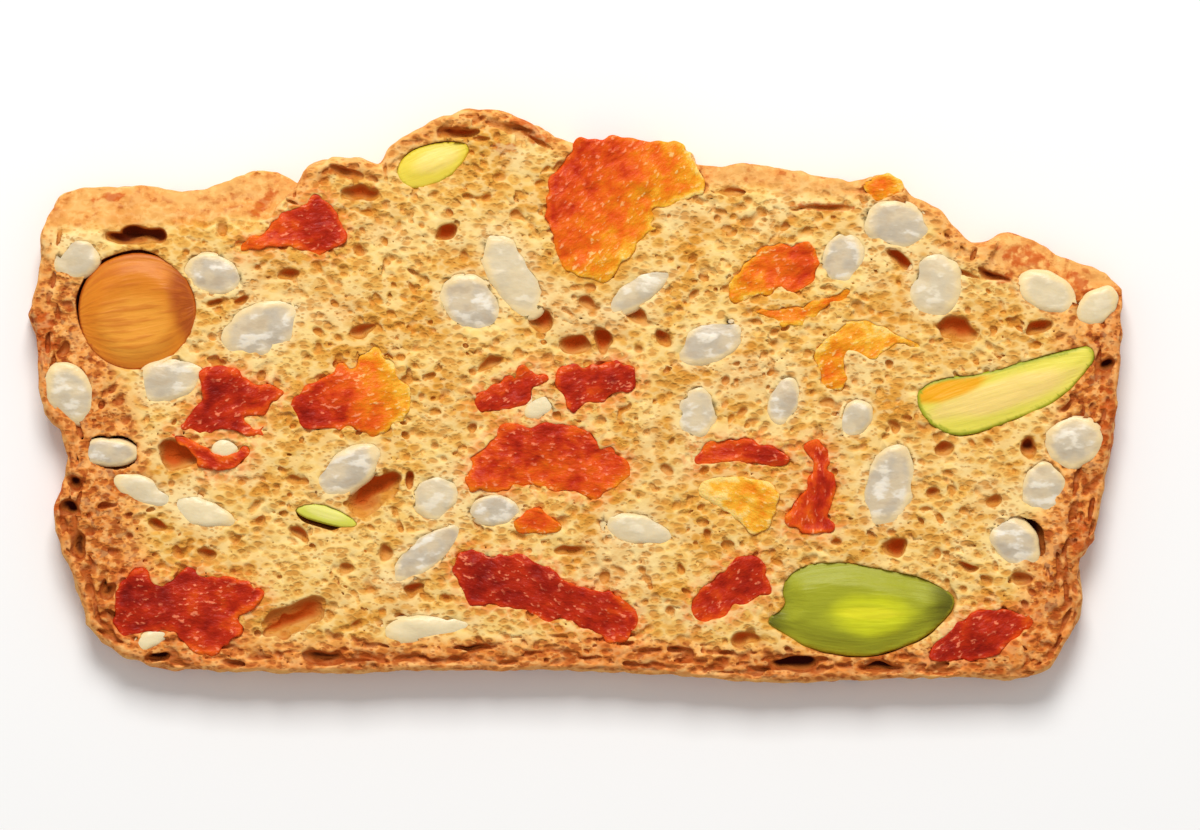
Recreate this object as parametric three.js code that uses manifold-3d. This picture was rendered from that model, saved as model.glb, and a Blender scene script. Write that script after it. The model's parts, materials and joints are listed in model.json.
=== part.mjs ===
// A fruit and nut crisp: one thin, twice-baked slice of a fruit loaf, lying flat with its cut face up.
// Millimetres. +X runs along the slice, +Y from the base crust to the risen top crust, and +Z up through the
// thickness. The origin is under the middle of the slice, on the surface that it lies on.
import * as THREE from "three";
import { mergeVertices } from "three/addons/utils/BufferGeometryUtils.js";
import Module from "manifold-3d";

const wasm = await Module();
wasm.setup();

// Driving dimensions
const LENGTH = 109.5; // across the top of the loaf, from side crust to side crust
const HEIGHT = 57.3; // from the base crust to the top of the rise
const THICKNESS = 4.5; // of the slice
const GAP = 0.4; // between a piece of fruit or nut and the crumb round it
const RIM_ROUND = 0.5; // rounding where the crust meets the two cut faces
const BACK_RECESS = 0.2; // fruit and nuts stop this far above the surface that the slice lies on
const FRUIT_PROUD = 0.15; // fruit stands this far above the cut face
const FRUIT_ROUND = 0.5; // rounding of a fruit piece's edges
const SEED_THICK = 1.9; // of a hulled sunflower seed
const SEED_PROUD = 0.4; // a seed's crown stands this far above the cut face

// Mesh fineness
const OUTLINE_STEPS = 120; // round the crust
const CHUNK_STEPS = 16; // round a piece of fruit
const POCKET_STEPS = 24; // round a nut's pocket
const PORE_DETAIL = 0; // of the ball that cuts a pore
const OVAL_DETAIL = 1; // of the ball that makes a seed or cuts a hole
const KERNEL_DETAIL = 3; // of the ball that makes a nut kernel
const MERGE = 1e-4; // vertices closer than this are one

const COLOUR = {
  crumb: 0xe9c47c,
  red: 0xa8231a,
  amber: 0xe8861a,
  hazelnut: 0xd98f35,
  pistachio: 0x93a52b,
};

// The crust's outline, clockwise from the top left corner of the loaf: where it turns, [x, y]
const TOP_CRUST = [
  [-51.8, 20.0], [-43.9, 21.1], [-39.6, 20.3], [-36.1, 20.8], [-31.4, 22.6], [-29.1, 22.1], [-27.3, 20.8],
  [-26.6, 22.8], [-23.1, 24.1], [-19.8, 23.0], [-18.6, 24.9], [-13.6, 27.7], [-9.6, 28.6], [-6.1, 28.2],
  [-1.1, 25.4], [6.5, 25.3], [11.0, 24.5], [12.2, 23.1], [18.5, 23.1], [27.5, 21.4], [31.0, 21.8],
  [33.5, 19.9], [36.3, 18.8], [38.2, 16.4], [41.0, 14.4], [41.8, 15.6], [43.7, 16.3], [49.5, 13.6], [54.7, 11.1],
];
const RIGHT_SIDE = [
  [54.5, 8.6], [54.6, 5.1], [53.4, -6.4], [51.3, -15.4], [49.5, -17.2], [50.7, -18.4], [50.7, -21.6], [47.5, -27.3],
];
const BASE_CRUST = [
  [44.0, -28.4], [38.5, -28.0], [22.5, -28.6], [0.5, -27.4], [-33.5, -27.6], [-42.5, -27.0], [-48.0, -24.1],
];
const LEFT_SIDE = [
  [-49.6, -19.7], [-52.3, -11.5], [-50.6, -7.3], [-51.1, -4.2], [-53.3, -1.3], [-53.9, 5.5], [-54.7, 8.3],
  [-53.8, 10.5], [-53.3, 17.3],
];

// Where the risen crust rolls away from the cut face: a slope from one end of a line to the other, and the
// depth that it has dropped at its outer edge
const SHOULDERS = [
  { from: [-56, 15.9], to: [-27.6, 16.6], width: 6, drop: 2.6 },
  { from: [41.2, 12.6], to: [56, 7.4], width: 7, drop: 2.6 },
  { from: [12.4, 20.2], to: [34.2, 18.4], width: 5, drop: 1.5 },
];

// Fruit: its middle, length, width and turn in degrees. It narrows by taper towards the end it points to,
// and its length bows by bend.
const FRUIT = [
  { name: "fruit_lower_left", hue: "red", at: [-38.4, -21.2], long: 17.0, wide: 7.2, turn: 2, taper: 0.1 },
  { name: "fruit_middle_left", hue: "red", at: [-34.7, -0.9], long: 7.8, wide: 5.8, turn: -14, taper: 0.1 },
  { name: "fruit_inner_left", hue: "amber", at: [-22.9, 0.4], long: 13.6, wide: 7.4, turn: 10, taper: -0.45 },
  { name: "fruit_ring_left", hue: "red", at: [-34.6, -6.6], long: 5.2, wide: 3.0, turn: 6 },
  { name: "fruit_upper_left", hue: "red", at: [-27.6, 17.0], long: 10.0, wide: 4.8, turn: 24, taper: -0.4 },
  { name: "fruit_top", hue: "amber", at: [4.2, 18.1], long: 14.4, wide: 12.8, turn: 68, taper: -0.3 },
  { name: "fruit_right_of_top", hue: "amber", at: [19.6, 12.5], long: 10.6, wide: 5.2, turn: 17, taper: -0.25 },
  { name: "fruit_sliver", hue: "amber", at: [21.4, 8.4], long: 9.4, wide: 1.8, turn: 11 },
  { name: "fruit_right", hue: "amber", at: [29.7, 4.7], long: 13.4, wide: 5.4, turn: 6, bend: -0.6 },
  { name: "fruit_centre_upper", hue: "red", at: [2.2, 0.9], long: 9.0, wide: 4.4, turn: 4 },
  { name: "fruit_centre_side", hue: "red", at: [-7.2, 0.1], long: 7.4, wide: 3.7, turn: 16, taper: 0.15 },
  { name: "fruit_centre", hue: "red", at: [-2.8, -6.5], long: 16.6, wide: 6.8, turn: 2, bend: 0.5 },
  { name: "fruit_speck", hue: "amber", at: [-3.7, -12.6], long: 5.0, wide: 2.0, turn: 0, taper: -0.3 },
  { name: "fruit_base_centre", hue: "red", at: [-3.0, -20.1], long: 20.2, wide: 6.4, turn: -19 },
  { name: "fruit_base_right", hue: "red", at: [15.6, -19.6], long: 10.0, wide: 5.0, turn: 37, taper: -0.15 },
  { name: "fruit_patch", hue: "amber", at: [16.6, -10.5], long: 9.6, wide: 4.6, turn: -18 },
  { name: "fruit_band", hue: "red", at: [18.4, -5.6], long: 13.4, wide: 2.6, turn: -4, bend: 0.3 },
  { name: "fruit_fold", hue: "red", at: [24.3, -11.0], long: 8.8, wide: 3.2, turn: 62, bend: -0.5 },
  { name: "fruit_corner", hue: "red", at: [40.7, -24.1], long: 11.0, wide: 4.6, turn: 21, taper: -0.15 },
  { name: "fruit_nub", hue: "amber", at: [30.8, 20.2], long: 3.6, wide: 2.0, turn: -8 },
];

// Nut kernels that the knife has cut: the kernel's middle, full size and turn in degrees. Its ends come to a
// point, it narrows by taper towards the end it points to, and its length bows by bend.
const HAZELNUT = { name: "hazelnut", hue: "hazelnut", at: [-44.0, 8.5], long: 12.2, wide: 11.6, tall: 11.0, turn: 20 };
const PISTACHIOS = [
  { name: "pistachio_base", at: [28.9, -21.4], long: 18.4, wide: 9.4, tall: 8.0, turn: 4, point: 0.2, taper: 0.12 },
  { name: "pistachio_right", at: [43.0, 0.5], long: 18.8, wide: 6.2, tall: 7.6, turn: 20, point: 0.2, bend: 0.9 },
  { name: "pistachio_top", at: [-14.8, 23.2], long: 8.4, wide: 4.8, tall: 6.0, turn: 17, point: 0.2 },
  { name: "pistachio_chip", at: [-24.9, -12.2], long: 6.6, wide: 1.9, tall: 6.0, turn: -15, point: 0.2 },
];
const NUT_WIDEST = 0.62; // height of a kernel's widest part, as a share of the slice's thickness
const NUT_CUT = 0.55; // the knife's cut through a kernel stands this far above the cut face

// Hulled sunflower seeds that show at the cut face: [x, y, length, width, turn]
const SEEDS = [
  [-50.1, 13.8, 5.2, 4.0, 10], [-36.1, 12.1, 5.6, 3.9, -12], [-31.3, 6.6, 8.2, 5.0, 22], [-40.6, 1.6, 6.4, 4.4, 20],
  [-50.7, 0.2, 6.4, 4.6, -62], [-47.1, -5.7, 6.3, 3.3, 0], [-43.0, -9.6, 6.4, 2.4, -24], [-37.6, -11.6, 7.2, 2.8, -18],
  [-22.9, -7.5, 7.2, 4.2, 32], [-14.0, -10.1, 4.8, 4.0, 25], [-8.0, -11.5, 5.4, 3.0, 0], [-14.9, -15.6, 8.6, 3.3, 36],
  [-10.4, 9.1, 6.8, 5.4, -42], [-6.3, 12.1, 9.4, 4.6, -60], [6.4, 10.6, 8.0, 2.9, 34], [13.6, 5.4, 7.2, 4.2, 22],
  [12.1, -1.7, 5.2, 4.2, 72], [20.8, -0.5, 5.0, 3.2, 70], [28.0, -2.2, 4.2, 3.2, 50], [26.7, 13.8, 5.2, 4.2, 72],
  [32.3, 17.2, 7.0, 4.8, -8], [35.9, 11.2, 6.4, 5.4, 78], [47.2, 10.3, 5.8, 3.8, -26], [52.2, 9.0, 4.4, 3.0, 40],
  [50.2, -4.6, 6.4, 5.2, 24], [46.8, -9.3, 5.2, 4.6, 80], [43.9, -14.7, 5.6, 4.6, -50], [31.2, -9.1, 8.6, 5.2, 74],
  [6.4, -13.4, 7.6, 3.0, -12], [-14.6, -23.3, 9.6, 2.8, 4], [-3.5, -1.1, 3.4, 2.6, 20], [-35.4, -5.5, 2.6, 2.2, 0],
];

// Holes in the crumb that are larger than its grain, and cracks in the crust: [x, y, length, width, turn, depth]
const HOLES = [
  [-44.8, 16.1, 6.2, 2.0, -3, 2.2], [-13.1, 16.4, 2.6, 2.1, 20, 1.7], [0.0, 4.8, 2.8, 1.7, -20, 1.6],
  [2.7, 5.3, 2.1, 2.7, 0, 1.9], [-20.0, -9.3, 6.2, 2.2, 28, 2.0], [-16.4, -8.4, 1.3, 2.2, 0, 1.4],
  [-39.8, -5.7, 4.2, 3.4, 0, 1.7], [-28.0, -22.3, 8.0, 2.6, 20, 1.8], [32.5, 13.7, 3.2, 1.5, -10, 1.8],
  [38.3, 6.8, 4.4, 2.3, -20, 1.7], [46.8, 7.0, 2.7, 1.5, 5, 1.5], [53.0, 3.3, 2.0, 1.7, 0, 1.8],
  [48.7, -1.2, 3.0, 1.1, 28, 1.6], [45.4, -5.5, 2.3, 2.3, 0, 1.7], [32.0, -15.1, 3.1, 1.5, 25, 1.6],
  [36.5, -5.1, 1.8, 1.2, 0, 1.3], [35.5, -9.4, 1.8, 1.2, 20, 1.3], [-3.5, 7.3, 3.0, 2.1, 20, 1.5],
  [6.3, 8.3, 2.6, 1.5, -20, 1.3], [9.0, 5.7, 2.0, 1.6, 0, 1.3], [-28.9, 11.9, 2.9, 1.2, -5, 1.3],
  [-21.5, 20.3, 3.6, 1.6, 5, 1.3], [-23.0, 22.3, 4.0, 1.1, -22, 1.1], [-12.0, 26.5, 4.0, 1.1, 2, 1.5],
  [-36.0, 9.4, 1.5, 1.0, 0, 1.2], [-33.5, 9.4, 2.1, 0.9, 10, 1.2], [-21.1, 6.4, 3.0, 1.5, 35, 1.4],
  [-50.0, -8.7, 2.6, 1.8, -45, 1.7], [-50.3, -11.3, 2.0, 2.2, 0, 1.7], [-49.7, -15.0, 1.4, 3.0, 10, 1.5],
  [-46.9, -19.2, 1.5, 1.9, 0, 1.7], [-41.2, -25.7, 4.6, 1.2, 20, 1.5], [-25.0, -26.4, 5.6, 0.9, 2, 1.5],
  [-10.5, -25.3, 5.2, 0.8, 5, 1.4], [21.7, -26.9, 5.6, 1.2, -3, 1.7], [30.5, -27.2, 5.0, 1.0, 0, 1.6],
  [-37.0, -16.0, 2.4, 1.1, -15, 1.3], [-41.5, -13.1, 1.7, 1.2, 0, 1.3], [-27.8, -13.9, 2.6, 0.9, -25, 1.3],
  [-16.1, -19.5, 2.6, 1.5, 10, 1.3], [-0.7, -15.6, 3.2, 1.2, -5, 1.2], [17.0, -24.3, 2.8, 1.6, 10, 1.3],
  [1.5, 9.2, 2.4, 1.0, -10, 1.1], [-8.7, 3.2, 3.4, 1.1, 25, 1.2], [24.5, 18.9, 8.0, 1.0, -3, 1.2],
  [42.2, 12.1, 4.0, 1.1, -20, 1.4], [39.4, -16.9, 3.0, 1.2, 0, 1.2], [44.6, -18.1, 2.2, 1.2, -10, 1.2],
];

// The crumb's grain: how many round pores are cut in each face, and their sizes
const PORES_FRONT = 76;
const PORES_BACK = 50;
const PORE_SMALL = 1.1;
const PORE_LARGE = 1.9;
const PORE_WIDTH = 0.75; // as a share of its length
const PORE_DEPTH = 1.2; // of the whole oval, half of it below the face, as a share of its length
const PORE_TURN = 120; // the spread of the directions that pores lie in, degrees
const PORE_SPACING = 3.4; // between the middles of two pores
const PORE_EDGE = 1.4; // between a pore's middle and a piece of fruit, nut or seed, or the crust
const FRONT_SEED = 11;
const BACK_SEED = 23;
const PLAIN_SPOT = { at: [8.4, -6.3], radius: 3.5 }; // left flat on the underside

const UP = new THREE.Vector3(0, 0, 1);

// A repeatable run of numbers from 0 to 1
function seeded(seed) {
  let state = seed;
  return () => {
    state = (state + 0x6d2b79f5) | 0;
    let mixed = Math.imul(state ^ (state >>> 15), 1 | state);
    mixed = (mixed + Math.imul(mixed ^ (mixed >>> 7), 61 | mixed)) ^ mixed;
    return ((mixed ^ (mixed >>> 14)) >>> 0) / 4294967296;
  };
}

// A closed three.js geometry as a solid that can be joined and cut
function solidFrom(geometry) {
  const bare = geometry.clone();
  bare.deleteAttribute("normal");
  bare.deleteAttribute("uv");
  const merged = mergeVertices(bare, MERGE);
  const vertProperties = merged.attributes.position.array;
  const triVerts = new Uint32Array(merged.index.array);
  return new wasm.Manifold(new wasm.Mesh({ numProp: 3, vertProperties, triVerts }));
}

// A finished solid as a named mesh of the given colour
function meshFrom(solid, name, hue, roughness) {
  const { vertProperties, triVerts } = solid.getMesh();
  const geometry = new THREE.BufferGeometry();
  geometry.setAttribute("position", new THREE.BufferAttribute(new Float32Array(vertProperties), 3));
  geometry.setIndex(new THREE.BufferAttribute(triVerts, 1));
  geometry.computeVertexNormals();
  const material = new THREE.MeshStandardMaterial({ color: COLOUR[hue], roughness, metalness: 0, flatShading: true });
  const mesh = new THREE.Mesh(geometry, material);
  mesh.name = name;
  return mesh;
}

function joined(solids) {
  return solids.reduce((sum, solid) => sum.add(solid));
}

// The largest body of a solid, so that a scrap cut loose at the crust is dropped
function largestBody(solid) {
  return solid.decompose().reduce((best, body) => (body.volume() > best.volume() ? body : best));
}

// An ellipsoid of the given full sizes, turned about the vertical
function ellipsoid([x, y, z], [long, wide, tall], turnDegrees, detail) {
  const turn = new THREE.Quaternion().setFromAxisAngle(UP, THREE.MathUtils.degToRad(turnDegrees));
  const place = new THREE.Vector3(x, y, z);
  const size = new THREE.Vector3(long / 2, wide / 2, tall / 2);
  const ball = new THREE.IcosahedronGeometry(1, detail);
  return solidFrom(ball.applyMatrix4(new THREE.Matrix4().compose(place, turn, size)));
}

// Points in a piece's own frame carried to where the piece lies
function placed(points, { at, turn }) {
  const pivot = new THREE.Vector2();
  const angle = THREE.MathUtils.degToRad(turn);
  return points.map((point) => point.rotateAround(pivot, angle).add(new THREE.Vector2(...at)));
}

// The crust's outline as points on a smooth closed curve, fitted to the slice's length and height
function crustOutline() {
  const corners = [...TOP_CRUST, ...RIGHT_SIDE, ...BASE_CRUST, ...LEFT_SIDE];
  const turns = corners.map(([x, y]) => new THREE.Vector3(x, y, 0));
  const curve = new THREE.CatmullRomCurve3(turns, true, "centripetal");
  const points = curve.getSpacedPoints(OUTLINE_STEPS).slice(0, -1);
  const box = new THREE.Box3().setFromPoints(points);
  const middle = box.getCenter(new THREE.Vector3());
  const size = box.getSize(new THREE.Vector3());
  const fit = new THREE.Vector2(LENGTH / size.x, HEIGHT / size.y);
  return points.map(({ x, y }) => new THREE.Vector2((x - middle.x) * fit.x, (y - middle.y) * fit.y));
}

// A chunk of candied fruit seen from above: a squarish oval with a seeded, lobed edge
function chunkOutline({ long, wide, taper = 0, bend = 0, seed }, grow) {
  const SQUARENESS = 0.8;
  const LOBES = [2, 3, 5];
  const LOBE_DEPTH = 0.05;
  const draw = seeded(seed);
  const phases = LOBES.map(() => draw() * 2 * Math.PI);
  const points = [];
  for (let step = 0; step < CHUNK_STEPS; step++) {
    const angle = (step / CHUNK_STEPS) * 2 * Math.PI;
    const lobed = LOBES.reduce((sum, lobe, i) => sum + LOBE_DEPTH * Math.sin(lobe * angle + phases[i]), 1);
    const along = Math.sign(Math.cos(angle)) * Math.abs(Math.cos(angle)) ** SQUARENESS;
    const across = Math.sign(Math.sin(angle)) * Math.abs(Math.sin(angle)) ** SQUARENESS;
    const narrowed = 1 - taper * along;
    const x = along * ((long / 2) * lobed + grow);
    const y = across * ((wide / 2) * lobed * narrowed + grow) + bend * (1 - along * along);
    points.push(new THREE.Vector2(x, y));
  }
  return points;
}

// A kernel seen from above: an oval that comes to a point at its ends
function kernelOutline({ long, wide, point = 0, taper = 0, bend = 0 }, grow) {
  const points = [];
  for (let step = 0; step < POCKET_STEPS; step++) {
    const angle = (step / POCKET_STEPS) * 2 * Math.PI;
    const along = Math.cos(angle);
    const across = Math.sin(angle) * (1 - point * along * along) * (1 - taper * along);
    const x = along * (long / 2 + grow);
    const y = across * (wide / 2) + Math.sin(angle) * grow - bend * (1 - along * along);
    points.push(new THREE.Vector2(x, y));
  }
  return points;
}

// An upright block with the given outline, from one height to another, with its edges rounded if asked
function upright(outline, low, high, round = 0) {
  const geometry = new THREE.ExtrudeGeometry(new THREE.Shape(outline), {
    depth: high - low - 2 * round,
    steps: 1,
    bevelEnabled: round > 0,
    bevelThickness: round,
    bevelSize: round,
    bevelOffset: -round,
    bevelSegments: 1,
  });
  return solidFrom(geometry.translate(0, 0, low + round));
}

function fruitSolid(piece) {
  const outline = placed(chunkOutline(piece, 0), piece);
  const round = Math.min(FRUIT_ROUND, piece.wide / 6);
  return upright(outline, BACK_RECESS, THICKNESS + FRUIT_PROUD, round);
}

// A kernel: a ball drawn out to its length and points, between the cut on top and the cut underneath
function kernelSolid(nut) {
  const { long, wide, tall, point = 0, taper = 0, bend = 0 } = nut;
  const ball = new THREE.IcosahedronGeometry(1, KERNEL_DETAIL);
  const spots = ball.attributes.position;
  for (let i = 0; i < spots.count; i++) {
    const along = spots.getX(i);
    const narrowed = (1 - point * along * along) * (1 - taper * along);
    const across = (spots.getY(i) * narrowed * wide) / 2 - bend * (1 - along * along);
    spots.setXYZ(i, (along * long) / 2, across, (spots.getZ(i) * narrowed * tall) / 2);
  }
  const turn = new THREE.Matrix4().makeRotationZ(THREE.MathUtils.degToRad(nut.turn));
  ball.applyMatrix4(turn).translate(...nut.at, THICKNESS * NUT_WIDEST);
  const between = THICKNESS + NUT_CUT - BACK_RECESS;
  const slab = new THREE.BoxGeometry(2 * long, 2 * long, between).translate(...nut.at, BACK_RECESS + between / 2);
  return solidFrom(ball).intersect(solidFrom(slab));
}

// The holes right through the crumb that hold the fruit and the nuts
function pockets() {
  const OVERRUN = 2;
  const through = (outline, piece) => upright(placed(outline, piece), -OVERRUN, THICKNESS + OVERRUN);
  const forFruit = FRUIT.map((piece) => through(chunkOutline(piece, GAP), piece));
  const forNuts = [HAZELNUT, ...PISTACHIOS].map((nut) => through(kernelOutline(nut, GAP), nut));
  return joined([...forFruit, ...forNuts]);
}

// Wedges that slope the cut face down towards the outer edge of the risen crust
function shoulders() {
  const REACH = 8;
  return joined(
    SHOULDERS.map(({ from, to, width, drop }) => {
      const line = new THREE.Vector2(...to).sub(new THREE.Vector2(...from));
      const wedge = new THREE.BoxGeometry(line.length(), width + REACH, REACH);
      wedge.translate(line.length() / 2, (width + REACH) / 2, REACH / 2);
      wedge.rotateX(-Math.atan2(drop, width));
      wedge.rotateZ(line.angle());
      return solidFrom(wedge.translate(...from, THICKNESS));
    }),
  );
}

function holes() {
  return joined(
    HOLES.map(([x, y, long, wide, turn, depth]) =>
      ellipsoid([x, y, THICKNESS], [long, wide, 2 * depth], turn, OVAL_DETAIL),
    ),
  );
}

function seeds() {
  const middle = THICKNESS + SEED_PROUD - SEED_THICK / 2;
  return joined(
    SEEDS.map(([x, y, long, wide, turn]) => ellipsoid([x, y, middle], [long, wide, SEED_THICK], turn, OVAL_DETAIL)),
  );
}

// True where a spot is inside the crust and clear of fruit, nuts and seeds by the given margin
function inPlainCrumb(x, y, margin, outline) {
  const RING = 8;
  const inside = (px, py) =>
    outline.reduce((odd, a, i) => {
      const b = outline[(i + 1) % outline.length];
      const crosses = a.y > py !== b.y > py && px < ((b.x - a.x) * (py - a.y)) / (b.y - a.y) + a.x;
      return crosses ? !odd : odd;
    }, false);
  for (let i = 0; i < RING; i++) {
    const angle = (i / RING) * 2 * Math.PI;
    if (!inside(x + margin * Math.cos(angle), y + margin * Math.sin(angle))) return false;
  }
  const ovals = [
    ...[...FRUIT, HAZELNUT, ...PISTACHIOS].map(({ at, long, wide, turn }) => [...at, long, wide, turn]),
    ...SEEDS,
  ];
  return ovals.every(([ox, oy, long, wide, turn]) => {
    const spot = new THREE.Vector2(x - ox, y - oy);
    spot.rotateAround(new THREE.Vector2(), -THREE.MathUtils.degToRad(turn));
    return (spot.x / (long / 2 + margin)) ** 2 + (spot.y / (wide / 2 + margin)) ** 2 > 1;
  });
}

// The crumb's grain at one face: pores of seeded size, spread evenly over the plain crumb
function pores(count, height, seed, outline, spared) {
  const TRIES = 9000;
  const draw = seeded(seed);
  const found = [...spared];
  const cutters = [];
  for (let tries = 0; tries < TRIES && cutters.length < count; tries++) {
    const x = (draw() - 0.5) * LENGTH;
    const y = (draw() - 0.5) * HEIGHT;
    const long = PORE_SMALL + (PORE_LARGE - PORE_SMALL) * draw() ** 2;
    const turn = (draw() - 0.5) * PORE_TURN;
    const crowded = found.some(({ at, radius }) => Math.hypot(x - at[0], y - at[1]) < radius);
    if (crowded || !inPlainCrumb(x, y, PORE_EDGE, outline)) continue;
    found.push({ at: [x, y], radius: PORE_SPACING });
    cutters.push(ellipsoid([x, y, height], [long, long * PORE_WIDTH, long * PORE_DEPTH], turn, PORE_DETAIL));
  }
  return joined(cutters);
}

function crumbSolid() {
  const outline = crustOutline();
  const besideHoles = HOLES.map(([x, y, long]) => ({ at: [x, y], radius: long / 2 + PORE_EDGE }));
  return largestBody(
    upright(outline, 0, THICKNESS, RIM_ROUND)
      .subtract(shoulders())
      .subtract(holes())
      .subtract(pores(PORES_FRONT, THICKNESS, FRONT_SEED, outline, besideHoles))
      .subtract(pores(PORES_BACK, 0, BACK_SEED, outline, [PLAIN_SPOT]))
      .add(seeds())
      .subtract(pockets()),
  );
}

FRUIT.forEach((piece, index) => {
  piece.seed = index + 1;
});

const crisp = new THREE.Group();
crisp.add(meshFrom(crumbSolid(), "crumb", "crumb", 0.9));
for (const piece of FRUIT) crisp.add(meshFrom(fruitSolid(piece), piece.name, piece.hue, 0.35));
crisp.add(meshFrom(kernelSolid(HAZELNUT), HAZELNUT.name, "hazelnut", 0.5));
for (const nut of PISTACHIOS) crisp.add(meshFrom(kernelSolid(nut), nut.name, "pistachio", 0.45));

export default crisp;
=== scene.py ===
"""A fruit and nut crisp: one thin, twice-baked slice of a fruit loaf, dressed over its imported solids.

The slice lies flat, its shown cut face up. Volumes are worked out in millimetres and made into meshes in
metres, in the frame of the solids: X along the slice, Y from the base crust to the risen crust, Z up.
"""

from __future__ import annotations

import json
import logging
import math
from dataclasses import dataclass
from enum import Enum
from typing import Any, Iterable, Mapping, Sequence

import bpy
import numpy as np
import openvdb
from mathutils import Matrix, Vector
from mathutils.kdtree import KDTree

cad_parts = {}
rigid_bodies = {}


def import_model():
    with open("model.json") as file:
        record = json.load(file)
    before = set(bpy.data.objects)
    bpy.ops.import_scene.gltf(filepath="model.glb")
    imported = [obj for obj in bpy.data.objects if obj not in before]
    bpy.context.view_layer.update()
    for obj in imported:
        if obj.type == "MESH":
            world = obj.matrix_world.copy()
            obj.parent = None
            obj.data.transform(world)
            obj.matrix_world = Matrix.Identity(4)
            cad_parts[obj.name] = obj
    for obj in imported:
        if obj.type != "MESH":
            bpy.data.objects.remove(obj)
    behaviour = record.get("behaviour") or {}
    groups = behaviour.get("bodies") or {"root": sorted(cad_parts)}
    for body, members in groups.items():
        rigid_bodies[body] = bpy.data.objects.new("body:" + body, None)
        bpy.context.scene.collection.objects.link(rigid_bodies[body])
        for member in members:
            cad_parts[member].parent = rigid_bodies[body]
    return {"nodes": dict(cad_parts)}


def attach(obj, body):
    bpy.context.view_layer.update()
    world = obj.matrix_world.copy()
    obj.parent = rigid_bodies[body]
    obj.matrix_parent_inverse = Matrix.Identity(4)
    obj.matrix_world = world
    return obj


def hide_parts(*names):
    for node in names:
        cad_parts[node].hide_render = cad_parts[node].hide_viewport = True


LOG = logging.getLogger("crisp")
MM = 0.001
FACE_HEIGHT = 4.5
STEP = 0.16
RIM_SPOTS = 12

Array = np.ndarray
Colour = tuple[float, float, float, float]
Material = bpy.types.Material
Mesh = bpy.types.Mesh
Piece = bpy.types.Object
Socket = bpy.types.NodeSocket
Sockets = Mapping[str, Any] | None
Span = tuple[float, float]
Triple = tuple[float, float, float]


def srgb(red: int, green: int, blue: int) -> Colour:
    """Turns a colour as seen on a screen, in parts of 255, into the light that a shader works with."""
    shares = (red / 255, green / 255, blue / 255)
    return (*(s / 12.92 if s <= 0.04045 else ((s + 0.055) / 1.055) ** 2.4 for s in shares), 1.0)


def smoothstep(low: float, high: float, values: Array) -> Array:
    """Eases values from 0 at low to 1 at high; low may be the larger."""
    share = np.clip((values - low) / (high - low), 0, 1)
    return share * share * (3 - 2 * share)


# Node trees written as expressions


def socket_named(sockets: Iterable[Socket], name: str) -> Socket:
    """Finds a node's socket by its identifier or its name, among those in use.

    Args:
        sockets: The node's inputs or outputs.
        name: Name or identifier.

    Returns:
        The socket.
    """
    used = [socket for socket in sockets if socket.enabled]
    for socket in used:
        if socket.identifier == name:
            return socket
    return next(socket for socket in used if socket.name == name)


class Graph:
    """A node tree that nodes are added to by type, settings and sockets."""

    def __init__(self, tree: bpy.types.NodeTree) -> None:
        """Keeps the tree that is written to."""
        self.tree = tree

    def feed(self, socket: Socket, value: Any) -> None:
        """Links a socket to another one or gives it a value.

        Args:
            socket: The input.
            value: A field or socket to link, or a plain value.
        """
        if isinstance(value, Field):
            value = value.socket
        if isinstance(value, Socket):
            self.tree.links.new(value, socket)
        else:
            socket.default_value = value

    def node(self, kind: str, settings: Sockets = None, sockets: Sockets = None) -> bpy.types.Node:
        """Adds a node.

        Args:
            kind: The node's type.
            settings: Its own properties; stops are those of a colour ramp.
            sockets: Values or links of its inputs.

        Returns:
            The node.
        """
        made = self.tree.nodes.new(kind)
        for name, value in (settings or {}).items():
            if name == "stops":
                self._set_stops(made.color_ramp.elements, value)
            else:
                setattr(made, name, value)
        for name, value in (sockets or {}).items():
            self.feed(socket_named(made.inputs, name), value)
        return made

    def value(
        self, kind: str, settings: Sockets = None, sockets: Sockets = None, output: str = "Value"
    ) -> Field:
        """Adds a node and takes one of its outputs as a field."""
        return Field(self, socket_named(self.node(kind, settings, sockets).outputs, output))

    @staticmethod
    def _set_stops(elements: Any, stops: Sequence[tuple[float, Colour]]) -> None:
        """Sets a colour ramp's stops.

        Args:
            elements: The ramp's own stops.
            stops: Place and colour of each stop, in order.
        """
        while len(elements) < len(stops):
            elements.new(1.0)
        for element, (place, colour) in zip(elements, stops):
            element.position = place
            element.color = colour


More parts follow.
